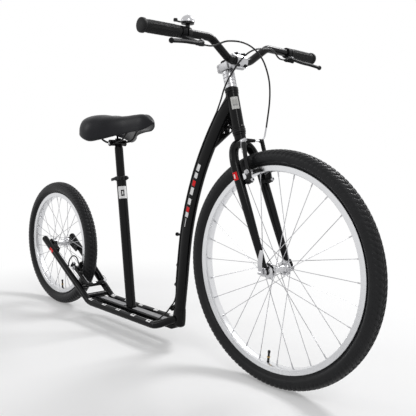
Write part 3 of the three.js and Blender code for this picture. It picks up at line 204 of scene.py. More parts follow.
def finish(name, slot, colour, rough, metal=0.0, coat=0.0, tint=0.25, cloud=30, grain=900, bump=0.02,
           spread=0.25, shine=0.5, rings_about=None, marks=()):
    """A material and its slot. The colour drifts by tint over a slow noise, the roughness by spread, and a
    fine grain, or fine rings about a wheel's axle, stands out by bump. Each mark is a painted rectangle: its
    centre, the ways of its two sides, its half sizes and its colour. It shows down to mark_depth metres
    behind its centre, which keeps it off the far side of a tube."""
    mark_depth = 0.0115
    material = bpy.data.materials.new(name)
    material.use_nodes = True
    tree = material.node_tree
    where = add(tree, "TexCoord", {}, "Object")
    slow = add(tree, "TexNoise", {"Vector": where, "Scale": cloud, "Detail": 5}, "Fac")
    low, high = ([min(1, c * share) for c in colour] + [1] for share in (1 - tint, 1 + tint))
    paint = add(tree, "Mix", {"Factor": slow, "A": low, "B": high}, "Result", data_type="RGBA")
    for centre, u, v, half_u, half_v, mark_colour in marks:
        away = maths(tree, "SUBTRACT", where, spot(centre), out="Vector")
        reach = [maths(tree, "DOT_PRODUCT", away, axis, out="Value") for axis in (u, v, np.cross(u, v))]
        inside_u, inside_v = (
            maths(tree, "LESS_THAN", maths(tree, "ABSOLUTE", reach[i]), half / 1000)
            for i, half in enumerate((half_u, half_v))
        )
        shown = maths(tree, "GREATER_THAN", reach[2], -mark_depth)
        share = maths(tree, "MULTIPLY", maths(tree, "MULTIPLY", inside_u, inside_v), shown)
        layer = {"Factor": share, "A": paint, "B": (*mark_colour, 1)}
        paint = add(tree, "Mix", layer, "Result", data_type="RGBA")
    polish = {"Value": slow, "To Min": rough * (1 - spread), "To Max": rough * (1 + spread)}
    if rings_about is None:
        fine = add(tree, "TexNoise", {"Vector": where, "Scale": grain, "Detail": 3}, "Fac")
    else:
        away = maths(tree, "SUBTRACT", where, spot(rings_about), out="Vector")
        reach = maths(tree, "LENGTH", maths(tree, "MULTIPLY", away, (1, 0, 1), out="Vector"), out="Value")
        fine = add(tree, "TexNoise", {"W": reach, "Scale": grain, "Detail": 3}, "Fac", noise_dimensions="1D")
    feed(tree, tree.nodes["Principled BSDF"], {
        "Base Color": paint, "Metallic": metal, "Roughness": add(tree, "MapRange", polish, "Result"),
        "Specular IOR Level": shine, "Coat Weight": coat, "Coat Roughness": 0.12,
        "Normal": add(tree, "Bump", {"Height": fine, "Distance": bump / 1000}, "Normal"),
    })
    return material, slot


def spot(point):
    """A place on the bike, in metres from the part's origin."""
    return tuple((np.asarray(point, float) - (half_length, 0, 0)) / 1000)


tyre_rubber = finish("tyre rubber", "tyre_rubber", (0.0082, 0.0084, 0.0095), 0.4, shine=0.2, tint=0.4,
                     cloud=60, grain=1800, bump=0.12)
tube_rubber = finish("valve rubber", "rubber", (0.009, 0.009, 0.01), 0.5, shine=0.25, grain=1500, bump=0.05)
brass = finish("brass", "polished_steel", (0.5, 0.33, 0.12), 0.3, metal=1, tint=0.12, grain=600, bump=0.01)
alloy = finish("polished alloy", "polished_alloy", (0.58, 0.58, 0.595), 0.2, metal=1, tint=0.08, grain=600,
               bump=0.01)
steel = finish("polished steel", "polished_steel", (0.5, 0.5, 0.515), 0.17, metal=1, tint=0.08, grain=700,
               bump=0.006)


def there_and_back(half, crown, count):
    """A smooth section through points, a crown and the points' mirror images."""
    return smooth_through([*half, crown, *[(-y, h) for y, h in half[::-1]]], count)


def tyre(end, s, axle):
    """Rings round the axle at the radii of the tyre's section. Smooth grooves are cut in: a zigzag one each
    side of the crown, slanting ones over the shoulders and fine slits in the crown, each deepest at 0 and
    gone at 1."""
    outer = [(0.488, -0.205), (0.49, 0.03), (0.62, 0.13), (0.93, 0.3), (1, 0.52), (0.96, 0.7), (0.7, 0.885)]
    outer = there_and_back([*outer, (0.36, 0.975)], (0, 1), 66)
    inner = there_and_back([(-0.36, -0.205), (-0.4, 0.05), (-0.8, 0.5)], (0, 0.9), 12)
    across, up = np.concatenate([outer, inner]).T[:, :, None]
    outside = np.arange(len(up))[:, None] < len(outer)
    side, hand = np.abs(across), np.sign(across)
    groove_depth, points_per_block = 3.2, 18
    place = turns(s["blocks"] * points_per_block) * s["blocks"] / (2 * np.pi)
    zigzag = np.abs(side - 0.2 - 0.05 * np.sin(4 * np.pi * place)) / 0.085
    slanted = np.abs((place * 2 + 1.5 * side + 0.5 * hand) % 1 - 0.5) / 0.24
    slit = np.abs((place * 2 + 1.2 * across) % 1 - 0.5) / 0.18
    slanted = np.where((side > 0.3) & (side < 0.99), slanted, 9)
    slit = np.where(side < 0.13, slit, 9)
    carve = np.maximum(1 - zigzag, np.maximum(1 - slanted, 0.8 - slit * 0.8)).clip(0, 1)
    carve = carve * carve * (3 - 2 * carve) * groove_depth
    ribs = 0.25 * (np.cos(up * 70) > 0.4) * (up > 0.12) * (up < 0.45) * outside
    radius = s["rim"] + up * (s["tyre"] - s["rim"]) - np.where((up > 0.55) & outside, carve, 0)
    shell = spin(radius, (across * tyre_half + hand * ribs)[:, 0], axle, ring=True)
    build(f"tyre_{end}", f"{end}_wheel", tyre_rubber, [shell], f"{end}_tyre", crease=60)


def inner_tube(end, s, axle):
    """A hollow ring of rubber under the tyre and the valve that stands through the rim: a stem, a brass ring
    and a black cap."""
    height = s["tyre"] - s["rim"]
    section = [(0, 0.8), (0.5, 0.5), (0.28, 0.08), (-0.28, 0.08), (-0.5, 0.5)]
    tube = [(s["rim"] + h * height, w * tyre_half) for w, h in section]
    angle, start = math.radians(s["valve"]), height * 0.2
    out = np.array([math.cos(angle), 0, math.sin(angle)])
    low = start + rim_depth
    valve = facing(axle[1] + out * (s["rim"] + start - low), -out)
    stem = [(0, -low), (4, -low), (4, 2), (3.4, 4), (3.4, 15), (2.6, 16), (2.6, 19), (0, 19)]
    cap = [(0, 17), (3.1, 17), (3.1, 26), (3.9, 27), (3.9, 32), (3.2, 34), (0, 34)]
    nut = [(3, 13.4), (4.7, 13.6), (4.7, 16.4), (3, 16.6)]
    shells = [revolve(tube, axle, 96, ring=True), revolve(stem, valve, 20), revolve(cap, valve, 20)]
    build(f"inner_tube_{end}", f"{end}_wheel", tube_rubber, shells, f"{end}_inner_tube")
    build(f"valve_ring_{end}", f"{end}_wheel", brass, [revolve(nut, valve, 24, ring=True)])


def rim(end, s, axle):
    """A box section turned about the axle: two flat brake tracks, hooked edges that hold the tyre, and a
    shallow well with the spoke nipples' seats."""
    edge, foot = s["rim"], s["rim"] - rim_depth
    half = [
        (foot, 7.6), (foot + 0.5, 9.2), (foot + 2.2, 14.1), (foot + 3.2, rim_half), (edge - 0.8, rim_half),
    ]
    half += [(edge, 14.3), (edge, 12.9), (edge - 1.2, 12.2), (edge - 3, 12.5), (edge - 9.5, 12.5)]
    half += [(edge - 10, 11.5)]
    brushed = finish(f"{end} rim alloy", "brushed_alloy", (0.69, 0.695, 0.71), 0.28, metal=1, tint=0.05,
                     grain=1500, bump=0.03, rings_about=axle[1])
    shell = revolve(both_ways(half), axle, 224, ring=True)
    build(f"rim_{end}", f"{end}_wheel", brushed, [shell], f"{end}_rim", crease=28)


def spokes(end, s, axle, side):
    """Straight wires from holes in the hub's flange to nipples in the rim, every second one leaning back.
    Each wire, nipple and wire head is rings of 8 points along a line."""
    pitch = 4 * np.pi / spoke_count
    i = np.arange(spoke_count // 2)
    at_hub = np.radians(s["valve"]) + side * pitch / 4 + i * pitch
    at_rim = at_hub + np.where(i % 2, -1, 1) * s["crosses"] * pitch
    hole, seat = flange_radius - 3, s["rim"] - rim_depth
    lean = np.where(i % 2, 1, -1) * side
    start = np.stack([hole * np.cos(at_hub), side * s["flange"] + 2.4 * lean, hole * np.sin(at_hub)], -1)
    way = np.stack([seat * np.cos(at_rim), np.full(len(i), side * 2.2), seat * np.sin(at_rim)], -1) - start
    length, way = np.linalg.norm(way, axis=1), unit(way)
    u = unit(np.cross(way, sideways))
    v = np.cross(way, u)
    a = turns(8)[:, None]
    circle = u[:, None] * np.cos(a) + v[:, None] * np.sin(a)
    shells = []
    wire = [(0, 0, 0), (0, 1.05, 0), (1, 1.05, -3), (1, 0, -3)]
    nipple = [(1, 0, -14), (1, 1.6, -14), (1, 1.9, -12.5), (1, 1.9, -2), (1, 2.6, 0.5), (1, 0, 0.5)]
    for rows in (wire, nipple):
        share, radius, extra = np.array(rows).T
        rings = start[:, None] + way[:, None] * (np.outer(length, share) + extra)[..., None]
        points = rings[:, :, None] + circle[:, None] * radius[:, None, None]
        faces = net(len(rows), 8)[None] + (np.arange(len(i)) * len(rows) * 8)[:, None, None]
        shells.append((points.reshape(-1, 3) + axle[1], [faces.reshape(-1, 4)]))
    head = [(0, -2.2), (1, -2.2), (1, 0.2), (2, 0.5), (1.7, 1.2), (0, 1.5)]
    for hub_end, way_out in zip(start + axle[1], lean):
        shells.append(revolve(head, facing(hub_end + (0, way_out * 0.4, 0), (0, way_out, 0)), 8))
    hand = "left" if side > 0 else "right"
    build(f"spokes_{end}_{hand}", f"{end}_wheel", steel, shells, f"{end}_spokes_{hand}")


def hub(end, s, axle):
    """A turned barrel that swells to two drilled flanges, with a stepped nose at each end."""
    f, h, b = s["flange"], s["half"], s["barrel"]
    rim_edge = flange_radius - 0.6
    half = [(5.4, h), (8.5, h), (9, h - 0.5), (9, f + 6), (12, f + 4), (14.5, f + 2.1), (rim_edge, f + 1.7)]
    half += [
        (flange_radius, f + 1.1), (flange_radius, f - 1.1), (rim_edge, f - 1.7), (15, f - 2),
        (b + 1.5, f - 7),
    ]
    shell = revolve(both_ways([*half, (b, f - 15)]), axle, 72, ring=True)
    build(f"hub_{end}", f"{end}_wheel", alloy, [shell], f"{end}_hub")


for wheel_end, wheel in wheels.items():
    wheel_axle = facing((wheel["x"], 0, wheel["tyre"]), sideways)
    for make in (tyre, inner_tube, rim, hub):
        make(wheel_end, wheel, wheel_axle)
    for wheel_side in (1, -1):
        spokes(wheel_end, wheel, wheel_axle, wheel_side)

# Axles
# Steel axles with cone locknuts inside the fork or dropouts. The front one is a quick release with a lever
# on the right; the rear one is bolted with plain hexagon nuts and washers.


def rod(start, end, radius, steps=32, edge=0.4):
    """A round bar between two points, with its two rims bevelled by edge."""
    way = np.subtract(end, start)
    length, rim = np.linalg.norm(way), radius - edge
    profile = [(0, 0), (rim, 0), (radius, edge), (radius, length - edge), (rim, length), (0, length)]
    return revolve(profile, facing(start, way), steps)


def placed(place, *shells, side=1):
    """Shells made in a piece's own frame, for the left or mirrored for the right, put on the bike."""
    return [(put(place, points * (1, side, 1)), groups) for points, groups in shells]


def sweep(path, across, within=None, steps=28, normal=sideways, edge=0.6, closed=False, squareness=2.0):
    """Rings square to a path: side * across * cos(a) + up * within * sin(a), squared off by a power. Side is
    normal made square to the path. The rim of an open end is a quarter circle of radius edge."""
    path, normal = np.asarray(path, float), np.asarray(normal, float)
    within = across if within is None else within
    sizes = [np.broadcast_to(np.asarray(v, float), len(path)) for v in (across, within)]
    if closed:
        way = unit(np.roll(path, -1, 0) - np.roll(path, 1, 0))
    else:
        way = unit(np.gradient(path, axis=0))
        t = np.linspace(0, np.pi / 2, 2 if edge < 1 else 6)
        deep, inset = edge * (1 - np.cos(t)), edge * (1 - np.sin(t))
        start, end = path[0] + np.outer(deep, way[0]), path[-1] - np.outer(deep[::-1], way[-1])
        path = np.concatenate([path[:1], start, path[1:-1], end, path[-1:]])
        way = np.repeat(way, [len(t) + 1, *[1] * (len(way) - 2), len(t) + 1], 0)
        start, end = 1 - inset / sizes[0][0], 1 - inset[::-1] / sizes[0][-1]
        sizes = [np.concatenate([[0], v[0] * start, v[1:-1], v[-1] * end, [0]]) for v in sizes]
    side = unit(normal - way * (way @ normal)[:, None])
    up = np.cross(side, way)
    a = turns(steps)
    c, s = (np.sign(wave) * np.abs(wave) ** (2 / squareness) for wave in (np.cos(a), np.sin(a)))
    points = path[:, None] + side[:, None] * np.outer(sizes[0], c)[..., None]
    points = points + up[:, None] * np.outer(sizes[1], s)[..., None]
    return points.reshape(-1, 3), [net(len(path), steps, wrap_rows=closed)]


front_axle = np.eye(3), np.array([wheels["front"]["x"], 0, wheels["front"]["tyre"]])
rear_axle = np.eye(3), np.array([wheels["rear"]["x"], 0, wheels["rear"]["tyre"]])
fork_outside = 56.35
knurl = [(0, 0), (10, 0), (12, 1), (11.2, 2), (12, 3), (11.2, 4), (12, 5), (10, 6.5), (8, 10.5), (7.2, 12)]
knurl += [(5, 12), (0, 12)]
seat_cup = [(0, 0), (12, 0), (12, 1.4), (11, 2), (11, 5.4), (10.4, 6), (0, 6)]
build("axle_front", "steering", steel, placed(
    front_axle,
    rod((0, -62, 0), (0, 66, 0), 4.8),
    *[rod((0, side * 45.4, 0), (0, side * 49.7, 0), 8.6, steps=6) for side in (1, -1)],
    revolve(knurl, facing((0, fork_outside, 0), sideways), 40),
    revolve(seat_cup, facing((0, -fork_outside, 0), (0, -1, 0)), 40),
), "front_axle")
share = np.linspace(0, 1, 20)
handle = smooth_through([(0, -68.7, 0), (0, -72.3, 22), (0, -69.9, 44), (0, -66.7, 60)], len(share))
build("axle_lever_front", "axle_release", steel, placed(
    front_axle,
    rod((-6, -68.7, 0), (6, -68.7, 0), 6),
    sweep(handle, 6.0 + 1.6 * np.sin(share * 3.1), 2.6 - share, normal=(1, 0, 0), squareness=3, edge=1.2),
), "front_axle_lever")
nuts = ((35.4, 39.7, 8.4, 6, 0.4), (45.3, 46.4, 9.5, 32, 0.4), (46.4, 52, 8, 6, 0.8))
nuts = [
    rod((0, side * start, 0), (0, side * end, 0), radius, steps, edge)
    for side in (1, -1) for start, end, radius, steps, edge in nuts
]
build("axle_rear", "frame", steel, placed(rear_axle, rod((0, -50, 0), (0, 50, 0), 4.6), *nuts), "rear_axle")

# Frame
# Welded steel, painted gloss black: a head tube, one oval main tube that sweeps down to the deck, a seat
# tube, a square beam and two round side tubes that run on as the rear stays. Small parts are welded on.


def arc(before, corner, after, radius, steps):
    """The arc that rounds a corner off. It starts radius * tan(turn / 2) before the corner, and its points
    are c + r (s1 cos t + s2 sin t)."""
    back, ahead = unit(before - corner), unit(after - corner)
    turn = np.pi - np.arccos(np.clip(back @ ahead, -1, 1))
    centre = corner + unit(back + ahead) * radius / np.cos(turn / 2)
    first, last = (unit(corner + way * radius * np.tan(turn / 2) - centre) for way in (back, ahead))
    t = np.linspace(0, turn, steps)[:, None]
    return centre + radius * (first * np.cos(t) + unit(last - first * (first @ last)) * np.sin(t))


def rounded_path(corners, radius, steps=9):
    """Straight runs between corners, joined by arcs."""
    p = np.asarray(corners, float)
    return np.concatenate([p[:1], *[arc(*p[i : i + 3], radius, steps) for i in range(len(p) - 2)], p[-1:]])


def rounded_outline(corners, radii, steps=6):
    """A flat outline whose corners are arcs, of one radius or of one each."""
    p = np.asarray(corners, float)
    radii = np.broadcast_to(radii, len(p))
    return np.concatenate([arc(p[i - 1], p[i], p[(i + 1) % len(p)], radii[i], steps) for i in range(len(p))])


def plate(outline, low, high, place, holes=()):
    """A flat plate in a frame's xy plane between two heights: triangles between the outline and round holes
    (x, y, radius), and walls along their edges."""
    a = turns(24)
    loops = [np.asarray(outline, float)]
    loops += [np.stack([x + r * np.cos(a), y + r * np.sin(a)], -1) for x, y, r in holes]
    starts = np.cumsum([0] + [len(loop) for loop in loops])
    edges = [start + np.arange(len(loop)) for start, loop in zip(starts, loops)]
    edges = np.concatenate([np.stack([i, np.roll(i, -1)], -1) for i in edges])
    flat = [Vector(p) for p in np.concatenate(loops)]
    corners, _, faces, *_ = delaunay_2d_cdt(flat, edges.tolist(), [], 2, 1e-6)
    corners, faces = np.array([tuple(c) for c in corners]), np.array([tuple(f) for f in faces])
    for x, y, r in holes:
        middle = corners[faces].mean(1) - (x, y)
        faces = faces[np.hypot(*middle.T) > r * 0.97]
    n = len(corners)
    points = np.concatenate([np.c_[corners, np.full(n, height)] for height in (low, high)])
    return put(place, points), [faces[:, ::-1], faces + n, np.c_[edges, edges[:, ::-1] + n]]


def block(low, high, radius):
    """A box with round edges: an eighth of a ball at each corner, pulled apart so that flats lie between."""
    low, high = np.asarray(low, float), np.asarray(high, float)
    steps = 5
    quarter = np.linspace(0, np.pi / 2, steps)
    a = np.concatenate([quarter + k * np.pi / 2 for k in range(4)])
    b = np.concatenate([quarter - np.pi / 2, quarter])[:, None]
    sx, sy = np.repeat([(1, 1), (-1, 1), (-1, -1), (1, -1)], steps, 0).T
    sz = np.repeat([-1, 1], steps)[:, None]
    ball = np.stack(np.broadcast_arrays(np.cos(b) * np.cos(a), np.cos(b) * np.sin(a), np.sin(b)), -1)
    signs = np.stack(np.broadcast_arrays(sx, sy, sz), -1)
    points = (low + high) / 2 + signs * ((high - low) / 2 - radius) + ball * radius
    rows, columns = len(b), len(a)
    ends = [np.arange(columns)[None, ::-1], np.arange(columns)[None] + (rows - 1) * columns]
    return points.reshape(-1, 3), [net(rows, columns), *ends]


def bead(path, size, normal):
    """A closed weld bead along a path, which swells and thins like laid metal."""
    swell = 1 + 0.18 * np.cos(turns(len(path)) * 23)
    return sweep(path, size * swell, steps=8, normal=normal, closed=True)


def weld(tube_at, tube_way, across_way, half, axis_at, axis_way, radius, size=2.0):
    """A bead where a tube meets a round tube: lines along the first, half[0] cos a and half[1] sin a from
    its middle, are cut where they come within radius of the second's axis."""
    a = turns(96)
    d, axis, side = unit(tube_way), unit(axis_way), unit(across_way)
    start = tube_at + np.outer(half[0] * np.cos(a), side) + np.outer(half[1] * np.sin(a), np.cross(side, d))
    s, w = (v - np.multiply.outer(v @ axis, axis) for v in (start - axis_at, d))
    k = (s @ w) ** 2 - (w @ w) * ((s * s).sum(1) - radius**2)
    t = (-(s @ w) - np.sqrt(np.maximum(k, 0))) / (w @ w)
    return bead(start + np.outer(t, d), size, d + (0.01, 0.02, 0.03))


def pitch(cos, sin):
    """A turn about the bike's sideways axis."""
    return np.array([[cos, 0, sin], [0, 1, 0], [-sin, 0, cos]])


hands = ((1, "left"), (-1, "right"))
level = np.eye(3), np.zeros(3)
in_plane = np.array([[1, 0, 0], [0, 0, -1], [0, 1, 0]], float), np.zeros(3)
steering = pitch(0.9613, -0.2756), np.array([997.49, 0, 768.07])
backwards, forwards = (-1, 0, 0), (1, 0, 0)
black, white_print, red_print = (0.0035, 0.0035, 0.004), (0.84, 0.84, 0.84), (0.72, 0.012, 0.016)


def painted(name, marks=()):
    """Gloss black paint, with marks printed on it."""
    return finish(name, "black_paint", black, 0.22, coat=0.16, tint=0.2, cloud=9, grain=260, bump=0.012,
                  shine=0.07, marks=marks)


label, label_up = steering[0] @ unit((0.8, -0.6, 0)), steering[0] @ upwards
label_side = np.cross(label_up, label)
head_marks = [
    (put(steering, (14.5, -10.5, up)), label_side, label_up, half_wide, half_tall, grey)
    for up, half_wide, half_tall, grey in (
        (19, 11, 18, (0.62, 0.62, 0.6)), (13, 7, 3, (0.36, 0.36, 0.36)), (23, 8, 6, (0.5, 0.5, 0.48)),
    )
]
head_profile = both_ways([(15.2, 56), (18.8, 56), (19.2, 55.4), (19.2, 49), (18, 47.5)])
head_shells = [
    revolve(head_profile, steering, 64, ring=True),
    weld((914, 0, 710.7), (0.6, 0, 0.8), sideways, (15, 21), steering[1], label_up, 18.2),
]
build("head_tube_welded", "frame", painted("head tube paint", head_marks), head_shells, "head_tube")

route = [
    (763, 74), (771, 154), (780, 235), (788, 316), (798, 390), (812, 455), (831, 520), (856, 588),
    (884, 648), (914, 702), (948, 756), (988, 809),
]
main_path = smooth_through([(x, 0, z) for x, z in route], 90)
main_marks = []
for height, half_long, half_tall, colour in (
    (596, 11, 6.5, white_print), (571, 9, 6.5, white_print), (548, 9, 6.5, red_print),
    (522, 12, 6.5, white_print), (494, 10, 6.5, white_print), (470, 8, 6.5, red_print),
    (448, 8, 6.5, white_print), (420, 14, 1.2, white_print),
):
    i = np.abs(main_path[:, 2] - height).argmin()
    way = unit(main_path[i + 1] - main_path[i - 1])
    for side in (1, -1):
        to_side = np.array([0, side, 0])
        main_marks.append((
            main_path[i] + to_side * 14, way, np.cross(to_side, way), half_long, half_tall, colour,
        ))
foot = main_path[main_path[:, 2] < 150]
flare = np.sin(np.pi * np.clip((foot[:, 2] - 40) / 110, 0, 1))
gusset = rounded_outline([(905, 652), (996, 714), (984, 790), (950, 750)], [3, 6, 3, 3])
boss = [(0, 0), (8, 0), (8, 1.2), (6, 2.2), (6, 12), (5.4, 12.6), (0, 12.6)]
peg = [(0, 0), (4, 0), (4, 26), (6.2, 27), (6.2, 31), (5, 33), (0, 33)]
stop = [(0, 0), (9, 0), (9, 26), (8.4, 27), (8.4, 30), (7.4, 31.5), (3.4, 31.5), (3.4, 24), (0, 24)]
bosses = ((762, 277), (754, 211))
build("main_tube_swept", "frame", painted("main tube paint", main_marks), [
    sweep(main_path, 15, 21, steps=56, squareness=2.2, edge=7),
    sweep(foot, 14.4 + 3.4 * flare, 20.4 + 3.6 * flare, steps=56, squareness=2.2, edge=10),
    plate(gusset, -2.5, 2.5, in_plane, [(972, 728, 3), (980, 712, 5.5), (955, 706, 3.4)]),
    *[revolve(boss, facing((x + 3, 0, z), backwards), 32) for x, z in bosses],
    revolve(peg, facing((778, 0, 378), backwards), 32),
    revolve(stop, facing((754, 0, 140), (-0.87, 0, -0.49)), 32),
], "main_tube")


def bolt(seat, direction, radius, head):
    """A socket-head screw: a short cylinder with a bevelled rim and a round recess."""
    inner, floor_at = radius * 0.5, head * 0.45
    profile = [(0, -1), (radius, -1), (radius, head - radius * 0.2), (radius * 0.82, head)]
    return revolve([*profile, (inner, head), (inner, floor_at), (0, floor_at)], facing(seat, direction), 28)


boss_screws = [bolt((x - 9.6, 0, z), backwards, 4.4, 2.2) for x, z in bosses]
build("boss_screws", "frame", steel, boss_screws)

seat_lean = math.radians(8.3)
seat_place = pitch(math.cos(seat_lean), -math.sin(seat_lean)), np.array([500, 0, 83.0])
seat_way, seat_face = seat_place[0] @ upwards, seat_place[0] @ unit((0.86, -0.5, 0))
seat_marks = [
    (put(seat_place, (15, -8.7, up)), np.cross(seat_way, seat_face), seat_way, half_wide, half_tall, colour)
    for up, half_wide, half_tall, colour in (
        (415, 14.5, 22, white_print), (413, 6, 11, black), (413, 2.5, 6, white_print),
    )
]
tube_profile = [(0, -6), (17.5, -6), (17.5, 473.4), (17, 474), (15.6, 474), (15.6, 440), (0, 440)]
a = turns(96)
seat_bead = np.stack([18 * np.cos(a), 18 * np.sin(a), 0.9 + 18 * np.cos(a) * math.tan(seat_lean)], -1)
seat_shells = [revolve(tube_profile, seat_place, 56), bead(put(seat_place, seat_bead), 2, upwards)]
build("seat_tube_welded", "frame", painted("seat tube paint", seat_marks), seat_shells, "seat_tube")

deck_paint = painted("deck paint")
beam_path = np.linspace((268, 0, 73), (748, 0, 73), 25)
build("deck_beam_tube", "frame", deck_paint, [
    sweep(beam_path, 20, 10, steps=64, squareness=9, edge=2),
    rod((272, -52, 84), (272, 52, 84), 10, 40, 1.5),
    block((722, -17, 82), (746, 17, 85.5), 1.2),
], "deck_beam")
build("stay_bridge_tube", "frame", deck_paint, [
    rod((235, -47, 115), (235, 47, 115), 7, edge=1),
], "stay_bridge")

tube_centre, tube_radius, slot_radius = 51, 12.5, 5.2
axle_slot = [(slot_radius * math.cos(t), slot_radius * math.sin(t)) for t in np.linspace(0, np.pi, 9)]
axle_slot = [(slot_radius, -9), *axle_slot, (-slot_radius, -9)]
dropout = [*axle_slot, (-12, -9), (-15, -4), (-15, 12), (-10, 17), (14, 20), (62, 24), (62, -3), (16, -9)]
stay_way = unit((329, 0, -208.5))
stay_up = np.array([-stay_way[2], 0, stay_way[0]])
stay_place = np.stack([stay_way, stay_up, (0, -1, 0)], 1), rear_axle[1]
corners = np.array([(-24, 63, 279), (305, 53, 70.5), (702, 50, 70.5), (768, 12, 103)])
stay = corners[0], corners[1] - corners[0]
tube_shells = [
    sweep(rounded_path(corners, 62), tube_radius, steps=40, edge=10),
    plate(dropout, -45, -40, stay_place),
    *placed(stay_place, block((26, 1, -57), (62, 22, -44), 3)),
    weld((235, 0, 115), sideways, upwards, (7, 7), *stay, 12.3, size=1.6),
    weld((272, 0, 84), sideways, upwards, (10, 10), *stay, 12.3, size=1.6),
]
for side, hand in hands:
    on_stay = (47, side * 73, 230), stay_way, stay_up * -side
    marks = [((503, side * tube_centre, 84), forwards, sideways, 200, 9.5, (0.03, 0.03, 0.032))]
    marks += [(*on_stay, 12.5, 11.5, red_print), (*on_stay, 3.5, 5, white_print)]
    for x in (673, 585, 497, 409, 320):
        marks.append(((x, side * tube_centre, 84), forwards, sideways, 11, 8.5, white_print))
        marks.append(((x, side * (tube_centre + 2), 84), forwards, sideways, 4, 3, black))
    paint = painted(f"side tube paint {hand}", marks)
    shells = placed(level, *tube_shells, side=side)
    build(f"side_tube_bent_{hand}", "frame", paint, shells, f"side_tube_{hand}", crease=38)

grit = finish("abrasive strip", "grip_tape", (0.3, 0.3, 0.31), 0.92, tint=0.5, cloud=900, grain=2600,
              bump=0.5, spread=0.05)
for strip, (start, end) in {"rear": (318, 472), "front": (522, 702)}.items():
    outline = rounded_outline([(start, -13), (end, -13), (end, 13), (start, 13)], 4)
    shell = plate(outline, 83.35, 84.55, level)
    build(f"grip_strip_{strip}", "frame", grit, [shell], f"deck_grip_{strip}", bevel=0.3)

# Headset and seat collar
# Black pressed cups with a lip hold the steering bearings at both ends of the head tube. A slit collar with
# a black cam lever pinches the seat tube on the post.
black_alloy = finish("black anodised alloy", "black_alloy", (0.0065, 0.0065, 0.0072), 0.3, shine=0.2,
                     tint=0.2, cloud=50, grain=900, bump=0.012)
cup = [(15.3, 56.35), (19.2, 56.35), (20, 57.2), (20, 60), (19, 60.8), (19, 62), (20, 62.8), (20, 65.6)]
cup += [(18.6, 67.2), (15.3, 67.2)]
for side, hand in ((1, "upper"), (-1, "lower")):
    shell = revolve([(r, side * h) for r, h in cup], steering, 56, ring=True)
    build(f"headset_ring_{hand}", "frame", black_alloy, [shell], f"headset_cup_{hand}")
screw_x, screw_z = 21.4, 466
collar = [
    (17.8, -7.6), (20.8, -7.6), (21.4, -7), (21.4, -4.6), (20.6, -3.8), (20.6, 4), (21.4, 4.8), (21.4, 7.4),
]
collar += [(20.8, 8.2), (17.8, 8.2)]
build("seat_collar_ring", "frame", black_alloy, placed(
    seat_place,
    revolve(collar, facing((0, 0, screw_z), upwards), 56, ring=True),
    *[block((17, y, 459), (27, y + 9.4, 473.4), 2.2) for y in (-11, 1.6)],
    rod((screw_x, -16, screw_z), (screw_x, 15.5, screw_z), 3.4),
    rod((screw_x, 11, screw_z), (screw_x, 15.5, screw_z), 5.2, 6, 0.6),
), "seat_collar")
pivot = np.array([screw_x, -22.85, screw_z])
handle = smooth_through(pivot + [(-1, -0.5, 0), (-14, -3.5, 0), (-30, -4.2, -1), (-46, -2.2, -2)], 18)
build("seat_cam_lever", "seat_release", black_alloy, placed(
    seat_place,
    rod(pivot - (0, 0, 6.5), pivot + (0, 0, 6.5), 6, edge=1),
    sweep(handle, 6.4 - np.linspace(0, 1.4, 18), 2.4, normal=upwards, squareness=3, edge=1),
), "seat_collar_lever")

# Fork
# A steel unicrown fork, painted black: a steerer, two blades that bend out of the crown and taper to the
# slotted ends, and a threaded post for a brake arm behind each blade.
crown = [(0, -108.7), (15, -108.7), (17, -106), (17, -74), (18.8, -72.7), (18.8, -67.9), (14.3, -67.7)]
crown += [(14.3, 118), (0, 118)]
build("fork_crown", "steering", painted("fork paint"), [revolve(crown, steering, 56)], "fork_steerer")
blade_top, blade_tip, blade_out, blade_lead = 101, 469.2, 50.5, 47


def blade_middle(down):
    """The middle of the left blade's straight part, a distance below the steering frame."""
    down = np.asarray(down, float)
    lead = blade_lead * (down - blade_top) / (blade_tip - blade_top)
    return np.stack([lead, np.full(down.shape, blade_out), -down], -1)


t = np.linspace(0, 1, 16)[:, None]
shoulder = [np.array([0, 6, -99]), np.array([0, blade_out, -101]), blade_middle(190)]
bend = shoulder[0] * (1 - t) ** 2 + shoulder[1] * 2 * t * (1 - t) + shoulder[2] * t**2
blade = np.concatenate([bend, blade_middle(np.linspace(200, 452, 22))])
share = np.clip((-blade[:, 2] - 190) / (452 - 190), 0, 1)
width = 13.5 - 4.5 * share**1.3
tab = [*axle_slot, (-12, -9), (-13.5, -3), (-13.5, 6), (-9, 22), (9, 22), (13.5, 6), (13.5, -3), (12, -9)]
fork_end = steering[0], front_axle[1]
fork_face = np.stack([steering[0][:, 0], steering[0][:, 2], -steering[0][:, 1]], 1)
post_x, post_y, post_z = -32.3, 42, 253
blade_shells = [
    *placed(steering, sweep(blade, width, width * (1 + 0.12 * np.sin(np.pi * share)), steps=40, edge=3)),
    plate(tab, -56, -50, (fork_face, front_axle[1])),
    *placed(
        fork_end,
        rod((post_x + 6, post_y, post_z), (post_x + 43, post_y, post_z), 4),
        rod((post_x + 4, post_y, post_z), (post_x + 20.5, post_y, post_z), 7.2, edge=1),
        block((post_x - 6, 38, 246), (post_x + 14, 50, 260), 4),
    ),
]
band_face = np.array([0.5, -0.86, 0])
band_side = unit(np.cross(band_face, steering[0] @ unit((blade_lead, 0, blade_top - blade_tip))))
band = put(steering, blade_middle(197) * (1, -1, 1) - (1, 13, 0)), band_side, np.cross(band_face, band_side)
for side, hand in hands:
    marks = [(*band, 9.5, 11.5, red_print), (*band, 2, 6, white_print)] if hand == "right" else []
    paint = painted(f"fork blade paint {hand}", marks)
    shells = placed(level, *blade_shells, side=side)
    build(f"fork_blade_{hand}", "steering", paint, shells, f"fork_leg_{hand}", crease=38)
    screw = placed(fork_end, bolt((post_x + 39, post_y, post_z), forwards, 5.6, 4.6), side=side)
    build(f"brake_pivot_bolt_{hand}", "steering", steel, screw)

